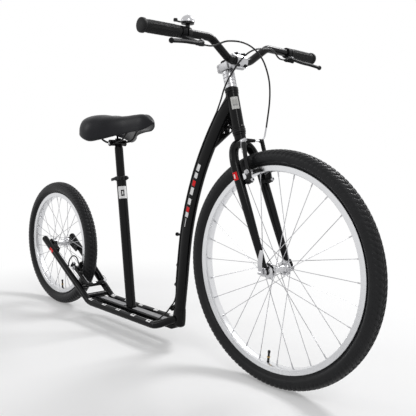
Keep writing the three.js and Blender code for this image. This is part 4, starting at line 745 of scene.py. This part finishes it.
# Stem and handlebar
# A stack of grooved alloy spacers, a bead-blasted stem clamped on the steerer, a polished face plate with
# four screws, a black top cap, and a butted steel bar that rises and sweeps back a little.
spacer = [(15.6, -0.6), (15.6, 0), (17.6, 0.1), (18, 0.6), (18, 8.4), (17.6, 8.9), (15.6, 9)]
stack = [(r, 67.9 + 10.2 * i + h) for i in range(5) for r, h in spacer]
stack = [(14.9, 67.9), *stack[1:], (14.9, 117.7)]
build("spacer_stack", "steering", alloy, [revolve(stack, steering, 64, ring=True)], "headset_spacers")
satin_alloy = finish("satin alloy", "brushed_alloy", (0.36, 0.36, 0.37), 0.4, metal=1, tint=0.06, cloud=60,
                     grain=1500, bump=0.02)
bar_middle = np.array([48, 0, 132.05])
arm_path = np.linspace((10, 0, 132.05), (44, 0, 132.05), 8)
build("stem_body", "steering", satin_alloy, placed(
    steering,
    block((-26, -18, 119.3), (18, -0.9, 144.8), 3.4),
    block((-26, 0.9, 119.3), (18, 18, 144.8), 3.4),
    block((-16, -16, 119.6), (18, 16, 144.5), 3.4),
    sweep(arm_path, 15 - 1.5 * np.sin(np.linspace(0, np.pi, 8)), 12, squareness=6, steps=48, edge=1),
    block((36, -21, 109.5), (47, 21, 154.5), 3.2),
    *[bolt((-20.5, -17.8, z), (0, -1, 0), 4, 1.6) for z in (126, 138)],
), "stem")
t = np.radians(np.linspace(-78, 78, 30))
outside = np.stack([18 * 0.94 * np.cos(t), 18 * np.sin(t)], -1)[2:-2]
inside = np.stack([12.9 * np.cos(t), 12.9 * np.sin(t)], -1)[::-1]
face_outline = np.concatenate([[(2.2, -22.4), (9, -22.4)], outside, [(9, 22.4), (2.2, 22.4)], inside])
face_shell = plate(face_outline, -21, 21, (fork_face, put(steering, bar_middle)))
build("face_plate", "steering", (steel[0], "brushed_alloy"), [face_shell], "stem_faceplate", bevel=0.8)
face_screws = [bolt((56.6, y, 132.05 + z), forwards, 3.9, 4) for y in (-15, 15) for z in (-17.4, 17.4)]
build("face_plate_screws", "steering", black_alloy, placed(steering, *face_screws))
cap = [
    (0, 145.3), (17.2, 145.3), (17.5, 145.8), (17.5, 148), (16.2, 149.9), (6.4, 150.1), (6, 149.2),
    (3.4, 149), (3.4, 146.6), (0, 146.6),
]
build("steerer_cap", "steering", black_alloy, [revolve(cap, steering, 56)], "stem_top_cap")
bar_half, bend_out, bend_in, bar_rise, bar_lead, back_sweep = 346, 116, 41, 47, 16, math.radians(2)


def on_bar(side, out):
    """The middle of the bar's straight end, a distance out from the bike's middle."""
    lead = bar_lead - math.tan(back_sweep) * (out - bend_out)
    return bar_middle + (lead, side * out, bar_rise)


bar_corners = [on_bar(1, bar_half - 0.5), on_bar(1, bend_out), bar_middle + (0, bend_in, 0)]
bar_corners = [*bar_corners, *[corner * (1, -1, 1) for corner in bar_corners[::-1]]]
sleeve = [(0, -32), (11, -32), (12.4, -30), (12.7, -29), (12.7, 29), (12.4, 30), (11, 32), (0, 32)]
satin_black = finish("satin black bar", "black_paint", (0.0045, 0.0045, 0.005), 0.26, coat=0.12, shine=0.08,
                     tint=0.15, cloud=30, grain=700, bump=0.012)
build("handlebar_tube", "steering", satin_black, placed(
    steering,
    sweep(rounded_path(bar_corners, 48, 14), 11.1, steps=40, normal=(0.3, 0, 1), edge=1),
    revolve(sleeve, facing(bar_middle, sideways), 48),
), "handlebar")

# Grips
# Moulded rubber sleeves, pushed on the bar's ends. Fine grooves ring them, twelve long ribs run along them,
# and a flange stands out at the outer end.
grip_rubber = finish("grip rubber", "rubber", (0.007, 0.007, 0.0075), 0.6, shine=0.2, tint=0.35, cloud=80,
                     grain=2200, bump=0.08)
grip_start = 226


def hand_place(side):
    """The frame of one hand: y runs along the bar, which sweeps back, from the grip's inner end."""
    c, s = math.cos(back_sweep), side * math.sin(back_sweep)
    return steering[0] @ np.array([[c, -s, 0], [s, c, 0], [0, 0, 1]]), put(steering, on_bar(side, grip_start))


along = np.concatenate([
    [0, 0.3, 1.2], np.linspace(3, 110, 108), [111.2, 111.6, 112.4, 118.5, 121.2, 122.8, 123],
])
radius = 16 - 0.5 * (along > 5) * (along < 109) * (np.cos(along * 2 * np.pi / 3.1) > 0.35)
radius[:3] = 11.8, 15.2, 16.0
radius[-7:] = 16.2, 18, 18.6, 18.8, 18.2, 14, 0
ribs = 0.7 * np.clip(np.cos(turns(96) * 12), 0, 1) * ((along > 14) & (along < 100))[:, None]
grip = spin(radius[:, None] + ribs, along, facing((0, 0, 0), sideways))
for side, hand in hands:
    shells = placed(hand_place(side), grip, side=side)
    build(f"hand_grip_{hand}", "steering", grip_rubber, shells, f"grip_{hand}", crease=45)

# Brake levers
# Forged black alloy: a split clamp ring with its screw, an arm that holds the pivot pin and the cable's
# adjusting barrel, and a thick blade that curves along the grip and ends in a ball.
lever_alloy = finish("lever alloy", "black_alloy", (0.007, 0.007, 0.0078), 0.58, shine=0.12, tint=0.15,
                     cloud=60, grain=1200, bump=0.02)
lever_tilt = math.radians(48)
pin_x, pin_y, barrel_x, barrel_y, barrel_z = 49, -42, 41.2, -37.8, -9.15
outwards = (0, -1, 0)


def lever_place(side):
    """The frame of a brake lever: the hand's frame, tilted down about the bar."""
    turn, origin = hand_place(side)
    return turn @ pitch(math.cos(lever_tilt), math.sin(lever_tilt)), origin


ring = [(11.6, 3.3), (15.4, 3.3), (16, 3.9), (16, 17.4), (15.4, 18), (11.6, 18)]
barrel = [(0, -5), (4.6, -4), (4.6, 8), (3.1, 8.5), (3.1, 11), (5.2, 11.4), (5.2, 17), (4.2, 18), (4.2, 21)]
barrel += [(3.2, 24), (0, 24)]
arm = smooth_through([(10, -10.5, -6), (22, -15, -6), (36, -28, -6), (47, -40, -6), (53, -42, -6)], 18)
arm_half = 11 - 1.5 * np.sin(np.linspace(0, 3.1, 18))
blade = [(pin_x, pin_y, 0.6), (57, -28, 0.6), (63.5, -8, 0.6), (65.2, 26, 0.6), (70, 52, 0.6), (75, 74, 0.6)]
blade_half = 7.8 - 0.9 * np.sin(np.pi * np.clip(np.linspace(0, 2, 40), 0, 1))
polar = np.linspace(0, np.pi, 17)
lever_pieces = {
    "clamp": [
        revolve(ring, facing((0, 0, 0), outwards), 48, ring=True),
        *[block((-21, -17.2, low), (-11, -4, high), 1.6) for low, high in ((-6.5, -1), (0.4, 5))],
        sweep(arm, arm_half, 4.6, normal=(1, 0.6, 0), squareness=3.5, edge=1.6),
        rod((pin_x, pin_y, -9), (pin_x, pin_y, 6), 2.6),
        revolve(barrel, facing((barrel_x, barrel_y, barrel_z), outwards), 22),
    ],
    "screws": [bolt((-16, -10.5, 5), upwards, 3.4, 2.6), bolt((pin_x, pin_y, 5.8), upwards, 4, 1.8)],
    "blade": [
        sweep(smooth_through(blade, 40), blade_half, 4.3, normal=forwards, squareness=2.4, edge=3),
        rod((pin_x, pin_y, -2.3), (pin_x, pin_y, 3), 8, edge=0.8),
        revolve(np.stack([7 * np.sin(polar), -7 * np.cos(polar)], -1), facing(blade[-1], sideways), 32),
    ],
}
for side, hand in hands:
    clamp, screws, blade = (placed(lever_place(side), *shells, side=side) for shells in lever_pieces.values())
    build(f"lever_clamp_{hand}", "steering", lever_alloy, clamp, f"lever_bracket_{hand}")
    build(f"lever_screws_{hand}", "steering", steel, screws)
    build(f"lever_blade_{hand}", f"{hand}_lever", lever_alloy, blade, f"brake_lever_{hand}")

# Bell
# A small bell on the right of the bar: a black plastic clip and saucer, a pressed steel dome with a screw on
# top, and a sprung plastic thumb piece.
black_plastic = finish("moulded black plastic", "black_plastic", (0.008, 0.008, 0.0085), 0.42, shine=0.25,
                       tint=0.2, cloud=60, grain=1600, bump=0.03)
bar_lean = math.radians(16)
bell_place = (
    hand_place(-1)[0] @ pitch(math.cos(bar_lean), math.sin(bar_lean)), put(hand_place(-1), (0, 29, 0)),
)
clip = [(11.6, -6), (14.6, -6), (15, -5.5), (15, 5.5), (14.6, 6), (11.6, 6)]
saucer = [(0, 13), (6, 13), (6, 20.5), (9, 22), (16.4, 22.4), (17, 23), (17, 26.4), (16.4, 27), (0, 27)]
build("bell_clip", "steering", black_plastic, placed(
    bell_place,
    revolve(clip, facing((0, 0, 0), sideways), 40, ring=True),
    revolve(saucer, level, 48),
    block((-20, -5.5, -4), (-11, 5.5, 4), 1.6),
), "bell_base")
dome = [
    (0, 16.8), (6, 16.6), (11.4, 14.6), (15.6, 9), (16.8, 0), (18.4, 0), (19, 0.7), (18.4, 1.6), (18.3, 3),
]
dome += [(18.2 * math.cos(t), 2 + 16.6 * math.sin(t)) for t in np.radians(np.arange(8, 84, 5))]
dome += [(3.4, 18.4), (3.2, 19), (0, 19)]
dome_shell = revolve([(r, 27.35 + h) for r, h in dome], level, 56)
build("bell_cup", "steering", steel, placed(bell_place, dome_shell), "bell_dome")
thumb_path = smooth_through([(0, -19.8, 25.2), (0, -30, 25.2), (0, -38, 25.8), (0, -45, 27.4)], 14)
button = [(0, 24), (5.2, 24), (5.4, 25), (5.4, 30), (4.8, 31.6), (0, 32.4)]
build("bell_thumb_piece", "bell_thumb", black_plastic, placed(
    bell_place,
    sweep(thumb_path, 4.4, 1.6, normal=forwards, squareness=3.4, edge=1),
    revolve(button, (np.eye(3), np.array([0, -40.4, 0])), 28),
), "bell_striker")

# Rim brakes
# Two pairs of black alloy arms that pivot on the posts of the fork and stays. Each holds a rubber pad on a
# threaded stud with steel washers; a bent steel pipe on one arm and a rubber boot on the other guide the
# cable between them.
pad_rubber = finish("brake pad rubber", "rubber", (0.009, 0.009, 0.0095), 0.7, shine=0.2, tint=0.3,
                    cloud=120, grain=1800, bump=0.06)
arm_lead, arm_length, arm_top = 30, 114, 39
brakes = {
    "front": dict(place=fork_end, forward=1, lift=post_x, pivot=post_z, pad=277.1, inside=16.7, pipe=1,
                  across=3, out=48, tail=36, lean=16, bend=18, boot_end=6),
    "rear": dict(place=(pitch(-0.5354, 0.8446), rear_axle[1]), forward=-1, lift=8.27, pivot=178, pad=195.9,
                 inside=16.4, pipe=-1, across=6, out=30, tail=-50, lean=0, bend=14, boot_end=-2),
}


def brake_arm(end, b, side, hand):
    """One arm of a brake with all that it holds, made as a left one in the frame of its posts."""
    x, pivot, pad, top = b["forward"] * (b["lift"] + arm_lead), b["pivot"], b["pad"], b["pivot"] + arm_length
    hub_start, hub_end, screw_at = (b["forward"] * (b["lift"] + lead) for lead in (21.2, 37.8, 37.9))

    def make(name, look, shells, stands_for=None):
        """A piece that moves with the arm."""
        build(f"{end}_{name}", f"{end}_arm_{hand}", look, placed(b["place"], *shells, side=side), stands_for)

    share = np.linspace(0, 1, 36)
    spine = [(x, 42, pivot - 6), (x, 42.4, pivot + 12), (x, 42.5, pivot + 34), (x, 42.5, pivot + 62)]
    spine = smooth_through([*spine, (x, 40.5, pivot + 92), (x, arm_top, top + 4)], len(share))
    wide = 8.4 - 2.2 * np.clip(share * 2.4, 0, 1) + 1.4 * np.exp(-(((share - 0.25) / 0.1) ** 2))
    shells = [
        sweep(spine, wide, 5 - share, normal=forwards, squareness=3.2, steps=32, edge=1.6),
        rod((hub_start, post_y, pivot), (hub_end, post_y, pivot), 8, edge=0.8),
    ]
    a = turns(24)
    for turn in range(3):
        spring_x = b["forward"] * (b["lift"] + 22.6 + 2.2 * turn)
        coil = np.stack([np.full(24, spring_x), post_y + 8.6 * np.cos(a), pivot + 8.6 * np.sin(a)], -1)
        shells.append(sweep(coil, 0.8, steps=6, normal=(1, 0.01, 0.02), closed=True))
    if side == b["pipe"]:
        shells.append(
            rod((x, arm_top + 4, top), (x, min(b["out"] - b["bend"], arm_top - 9), top), 5.6, edge=1)
        )
        corners = [
            (x, -b["across"], top), (x, b["out"], top), (x + b["lean"], b["out"] + 2.4, top + b["tail"]),
        ]
        bent = rounded_path(corners, b["bend"], 14)
        make("cable_pipe", steel, [sweep(bent, 2.4, steps=20, normal=forwards, edge=0.5)])
    else:
        ridges, reach = np.linspace(0, 1, 33), abs(arm_top + b["boot_end"]) - 5
        boot = np.stack([5.9 - 1.6 * ridges + 0.7 * np.cos(ridges * 14 * np.pi), 5 + reach * ridges], -1)
        boot = [(0, 1), (5, 1), (5.6, 4), *boot, (2.6, 5 + reach), (0, 5 + reach)]
        make("cable_boot", pad_rubber, [revolve(boot, facing((x, arm_top, top), outwards), 28)])
        clamp_y, clamp_z = arm_top + 1, top - 1
        make("pinch_washer", steel, [
            rod((x - 6.5, clamp_y, clamp_z), (x + 7.5, clamp_y, clamp_z), 6.2, edge=1),
            bolt((x + 7.4, clamp_y, clamp_z), forwards, 4.6, 4.2),
        ])
        tail = [(5, 6, -2), (6, 15, -5), (6, 20, -18), (4, 17, -32)]
        tail = smooth_through(np.array(tail) + (x, arm_top, top), 20)
        ferrule = rod(tail[-1], tail[-1] - (0.6, 0.8, 6), 1.5, 12)
        make("wire_tail", steel, [sweep(tail, 0.8, steps=8, edge=0.3), ferrule])
    make(f"arm_forged_{hand}", black_alloy, shells, f"{end}_brake_arm_{hand}")
    washers = ((30, 33.4, 7.5), (33.6, 36.8, 6.6), (46.8, 49.4, 7.5), (49.5, 51.2, 6.4))
    make(f"stud_stack_{hand}", steel, [
        *[rod((x, first, pad), (x, last, pad), radius, edge=0.5) for first, last, radius in washers],
        rod((x, 29.6, pad), (x, 55.6, pad), 3),
        rod((x, 51.2, pad), (x, 54.4, pad), 5.4, 6, 0.5),
        bolt((screw_at, post_y, pivot), (b["forward"], 0, 0), 5.4, 3.6),
    ])
    starts, inside = x - 26 + 13.1 * np.arange(4), b["inside"]
    make(f"pad_moulded_{hand}", pad_rubber, [
        *[block((start, inside, pad - 4), (start + 12.6, inside + 5, pad + 4), 1) for start in starts],
        block((x - 26, inside + 4, pad - 3.7), (x + 26, 29.4, pad + 3.7), 2.2),
    ], f"{end}_brake_pad_{hand}")


for end, brake in brakes.items():
    for side, hand in hands:
        brake_arm(end, brake, side, hand)

# Cables
# Black lined housings with wire inside: one from the right lever to the front brake, one from the left lever
# round the head tube and down behind the main tube, under the deck and up to the rear brake.
housing = finish("cable housing", "black_plastic", (0.009, 0.009, 0.0095), 0.34, shine=0.25, tint=0.2,
                 cloud=80, grain=1500, bump=0.01)
cable_radius = 2.4
front_route = [
    (1040, -75, 950), (1050, -38, 951), (1057, -6, 943), (1063, 14, 930), (1070, 31, 909), (1076, 42, 882),
    (1081, 49, 850), (1083, 51, 816), (1082, 51, 784),
]
upper_route = [
    (1048, 95, 948), (1051, 55, 945), (1052, 18, 938), (1051, -14, 922), (1043, -35, 899), (1024, -42, 872),
    (1004, -42, 848), (984, -36, 824), (964, -25, 802),
]
deck_route = [
    (734, -11, 134), (720, -14, 116), (704, -22, 98), (684, -28, 80), (660, -30, 68), (560, -30, 66),
    (440, -30, 66), (330, -31, 66), (290, -39, 64), (260, -49, 76), (236, -54, 95), (190, -55, 124),
    (158, -53, 144), (140, -46, 156), (131, -41, 174),
]
loop_route = [
    (134, -40, 196), (146, -39, 214), (164, -37, 225), (183, -35, 221), (196, -35, 206), (203, -34, 188),
]
# The housing lies against the main tube's oval, 10 mm to the right of its middle.
beside, oval_half_wide, oval_half_deep = 10, 15 + 2.8, 21 + 2.8
down = np.array(route[::-1])
back = oval_half_deep * math.sqrt(1 - (beside / oval_half_wide) ** 2)
behind = down[1:-1] + unit(down[:-2] - down[2:])[:, ::-1] * (-back, back)
behind = [(x, -beside, z) for x, z in behind]


def lever_end(side, beyond):
    """Where a cable leaves a lever's adjusting barrel, and how it runs on from there."""
    return put(lever_place(side), (barrel_x, side * (barrel_y - beyond), barrel_z))


def pipe_end(end, beyond):
    """Where a cable enters a brake's bent pipe, and how it comes to it."""
    b = brakes[end]
    share = 1 + beyond / abs(b["tail"])
    x = b["forward"] * (b["lift"] + arm_lead) + b["lean"] * share
    return put(b["place"], (x, b["pipe"] * (b["out"] + 2.4), b["pivot"] + arm_length + b["tail"] * share))


def cable(name, body, points, count, stands_for=None):
    """A round housing along a smooth curve through the points."""
    path = smooth_through(points, count)
    shell = sweep(path, cable_radius, steps=14, normal=(0.31, 0.47, 0.83), edge=0.4)
    return build(name, body, housing, [shell], stands_for)


front_points = [
    lever_end(-1, 23), lever_end(-1, 44), *front_route, pipe_end("front", 22), pipe_end("front", -1),
]
front_cable = cable("front_cable_housing", None, front_points, 150, "front_brake_cable")
upper_points = [lever_end(1, 23), lever_end(1, 44), *upper_route, behind[0]]
upper_cable = cable("rear_cable_upper_housing", None, upper_points, 170, "rear_brake_cable_upper")
cable("rear_cable_deck_housing", "frame", [*behind, *deck_route], 300)
loop_points = [deck_route[-1], *loop_route, pipe_end("rear", 12), pipe_end("rear", -1)]
loop_cable = cable("rear_cable_loop_housing", None, loop_points, 60, "rear_brake_cable")

# Seat post and saddle
# A black post with a waisted neck, a clamp whose jaws grip the two steel rails, and a padded saddle: a
# moulded pan and foam under one stretched cover, wide at the back and narrow in front.
post = [
    (0, 270), (14.6, 270), (15.2, 270.8), (15.2, 574), (14.8, 578), (12.6, 586), (11.2, 593), (10.8, 600),
]
post += [(10.8, 611), (0, 611)]
build("seat_post_tube", "seat", satin_black, [revolve(post, seat_place, 56)], "seatpost")
jaw_x, jaw_z, bolt_z = 408, 674, 670
a = turns(120)
teeth = 9.3 + 0.55 * np.cos(a * 30)
serrated = np.stack([jaw_x + teeth * np.cos(a), bolt_z + teeth * np.sin(a)], -1)
build("saddle_clamp_jaws", "seat", black_alloy, [
    block((jaw_x - 18, -29, jaw_z - 7), (jaw_x + 18, 29, jaw_z + 0.5), 3),
    *[block((jaw_x - 16, y, jaw_z + 1.2), (jaw_x + 16, y + 15, jaw_z + 9), 2.6) for y in (-29, 14)],
    rod((jaw_x, -31, bolt_z), (jaw_x, 31, bolt_z), 9, edge=1),
    *[plate(serrated, low, low + 4.1, in_plane) for low in (-34.6, 30.5)],
], "saddle_clamp", crease=40)
clamp_nuts = [
    rod((jaw_x, side * 34.4, bolt_z), (jaw_x, side * 37.2, bolt_z), 5.6, 6, 0.8) for side in (1, -1)
]
build("saddle_clamp_nuts", "seat", steel, clamp_nuts)
rail = [
    (344, 40, 722), (351, 39, 702), (360, 34, 685), (374, 26, 675), (408, 22.5, 675.5), (440, 22, 676),
    (462, 22, 680), (500, 18, 712), (522, 9, 726),
]
rail = smooth_through([*rail, (529, 0, 728.5), *[(x, -y, z) for x, y, z in rail[::-1]]], 190)
rail_steel = finish("rail steel", "black_steel", (0.016, 0.016, 0.017), 0.32, metal=0.6, shine=0.3, tint=0.2,
                    cloud=60, grain=900, bump=0.015)
rail_shell = sweep(rail, 3.5, steps=18, normal=(0.1, 0.2, 1))
build("saddle_rail_wire", "seat", rail_steel, [rail_shell], "saddle_rails")

# The saddle's half width, top, underside and skirt above saddle_base, at even steps from tail to nose.
saddle_rear, saddle_nose, saddle_base, tail_edge, nose_edge = 279, 617, 690, 32, 50
stations = np.array([
    (58, 60, 26, 14), (105, 80, 26, -2), (107, 83, 26, -16), (88, 79, 25, -10), (60, 76, 24, 2),
    (42, 77, 24, 12), (34, 80, 25, 19), (29, 80, 28, 23), (22, 64, 32, 28),
])


def saddle_shell(half, rows):
    """Sections across the saddle from tail to nose. A section runs through points at shares of the half
    width and of the height between skirt and top or underside; near each end it shrinks like a quarter
    circle."""
    x = saddle_rear + (saddle_nose - saddle_rear) * (1 - np.cos(np.linspace(0, np.pi, rows))) / 2
    at = np.linspace(saddle_rear, saddle_nose, len(stations))
    fine = smooth_through(np.c_[at, stations], 400)
    width, top, under, skirt = (np.interp(x, fine[:, 0], fine[:, k])[:, None] for k in (1, 2, 3, 4))
    loop = [(0, 0.985), *half, (0, -1), *[(-y, z) for y, z in half[::-1]], (0, 0.985)]
    across, up = smooth_through(loop, 97)[:-1].T
    x = x[:, None]
    heights = skirt + np.where(up > 0, (top - skirt) * up, (skirt - under) * up)
    tail, nose = np.clip((x - saddle_rear) / tail_edge, 0, 1), np.clip((saddle_nose - x) / nose_edge, 0, 1)
    shrink = np.sqrt(1 - (1 - tail) ** 2) * np.sqrt(1 - (1 - nose) ** 2)
    middle = top * 0.62 + skirt * 0.38
    along = np.sin(np.pi * np.clip(x / 300 - 0.93, 0, 1)) ** 0.7
    channel = 2.6 * np.exp(-((width * across / 9) ** 2)) * (up > 0.5) * along
    heights = saddle_base + middle + (heights - middle) * shrink - channel
    points = np.stack([np.broadcast_to(x, heights.shape), width * across * shrink, heights], -1)
    return points.reshape(-1, 3), [net(rows, len(across))]


half_section = [
    (0.3, 0.995), (0.6, 0.94), (0.85, 0.78), (0.975, 0.5), (1, 0.24), (0.975, 0.05), (0.9, 0.02),
    (0.8, -0.45), (0.55, -0.95),
]
cover = finish("saddle cover", "saddle_cover", (0.0036, 0.0039, 0.0062), 0.38, shine=0.22, tint=0.1,
               cloud=40, grain=650, bump=0.014, spread=0.08)
saddle = build("saddle_cushion", "seat", cover, [saddle_shell(half_section, 100)], "saddle", crease=180)
smoothing = saddle.modifiers.new("smooth cover", "SUBSURF")
smoothing.levels = smoothing.render_levels = 1
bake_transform(front_cable)
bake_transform(upper_cable)
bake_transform(loop_cable)

# Studio
# A pale paper floor that runs out to white, a soft lamp high over the bike's left side, weaker ones ahead of
# it and at its right, and an even white room that looks twice as bright as the light it gives.
floor_half = 9
floor_mesh = bpy.data.meshes.new("floor")
corners = [(x * floor_half, y * floor_half, 0) for x, y in ((-1, -1), (1, -1), (1, 1), (-1, 1))]
floor_mesh.from_pydata(corners, [], [(0, 1, 2, 3)])
floor = bpy.data.objects.new("floor", floor_mesh)
bpy.context.scene.collection.objects.link(floor)


def seen(tree):
    """1 for rays from the camera or from a shiny or clear surface, 0 for the rays that carry light."""
    rays = tree.nodes.new("ShaderNodeLightPath").outputs
    direct = maths(tree, "ADD", rays["Is Camera Ray"], rays["Is Glossy Ray"], use_clamp=True)
    return maths(tree, "ADD", direct, rays["Is Transmission Ray"], use_clamp=True)


def cleared(holder):
    """The empty shader nodes of a material or world."""
    holder.use_nodes = True
    holder.node_tree.nodes.clear()
    return holder.node_tree


paper = bpy.data.materials.new("paper floor")
floor_mesh.materials.append(paper)
tree = cleared(paper)
reach = maths(tree, "LENGTH", add(tree, "TexCoord", {}, "Object"), out="Value")
fade = {"Value": reach, "From Min": 0.75, "From Max": 1.5, "To Min": 0.25}
fade = add(tree, "MapRange", fade, "Result", interpolation_type="SMOOTHSTEP")
matt, glow = add(tree, "BsdfDiffuse", {"Color": (0.9, 0.9, 0.905, 1)}), add(tree, "Emission", {})
mix = add(tree, "MixShader", {"Fac": maths(tree, "MULTIPLY", fade, seen(tree)), 1: matt, 2: glow})
feed(tree, tree.nodes.new("ShaderNodeOutputMaterial"), {"Surface": mix})

world = bpy.context.scene.world = bpy.data.worlds.new("studio")
tree = cleared(world)
white = (1, 1, 1, 1)
room = add(tree, "Background", {"Color": white, "Strength": 0.5})
mix = add(tree, "MixShader", {"Fac": seen(tree), 1: room, 2: add(tree, "Background", {"Color": white})})
feed(tree, tree.nodes.new("ShaderNodeOutputWorld"), {"Surface": mix})

lamp_target = Vector((0, 0, 0.35))
for name, at, size, power in (
    ("key lamp", (0.3, 1.9, 2.9), 1.0, 58), ("front lamp", (2.6, -1.2, 2.4), 0.8, 12),
    ("side lamp", (-1.6, -2.2, 1.8), 0.8, 9),
):
    lamp = bpy.data.objects.new(name, bpy.data.lights.new(name, "AREA"))
    lamp.data.size, lamp.data.energy = size, power
    aim = (lamp_target - Vector(at)).to_track_quat("-Z", "Y").to_matrix().to_4x4()
    lamp.matrix_world = Matrix.Translation(at) @ aim
    bpy.context.scene.collection.objects.link(lamp)
bpy.context.scene.view_settings.view_transform = "Standard"
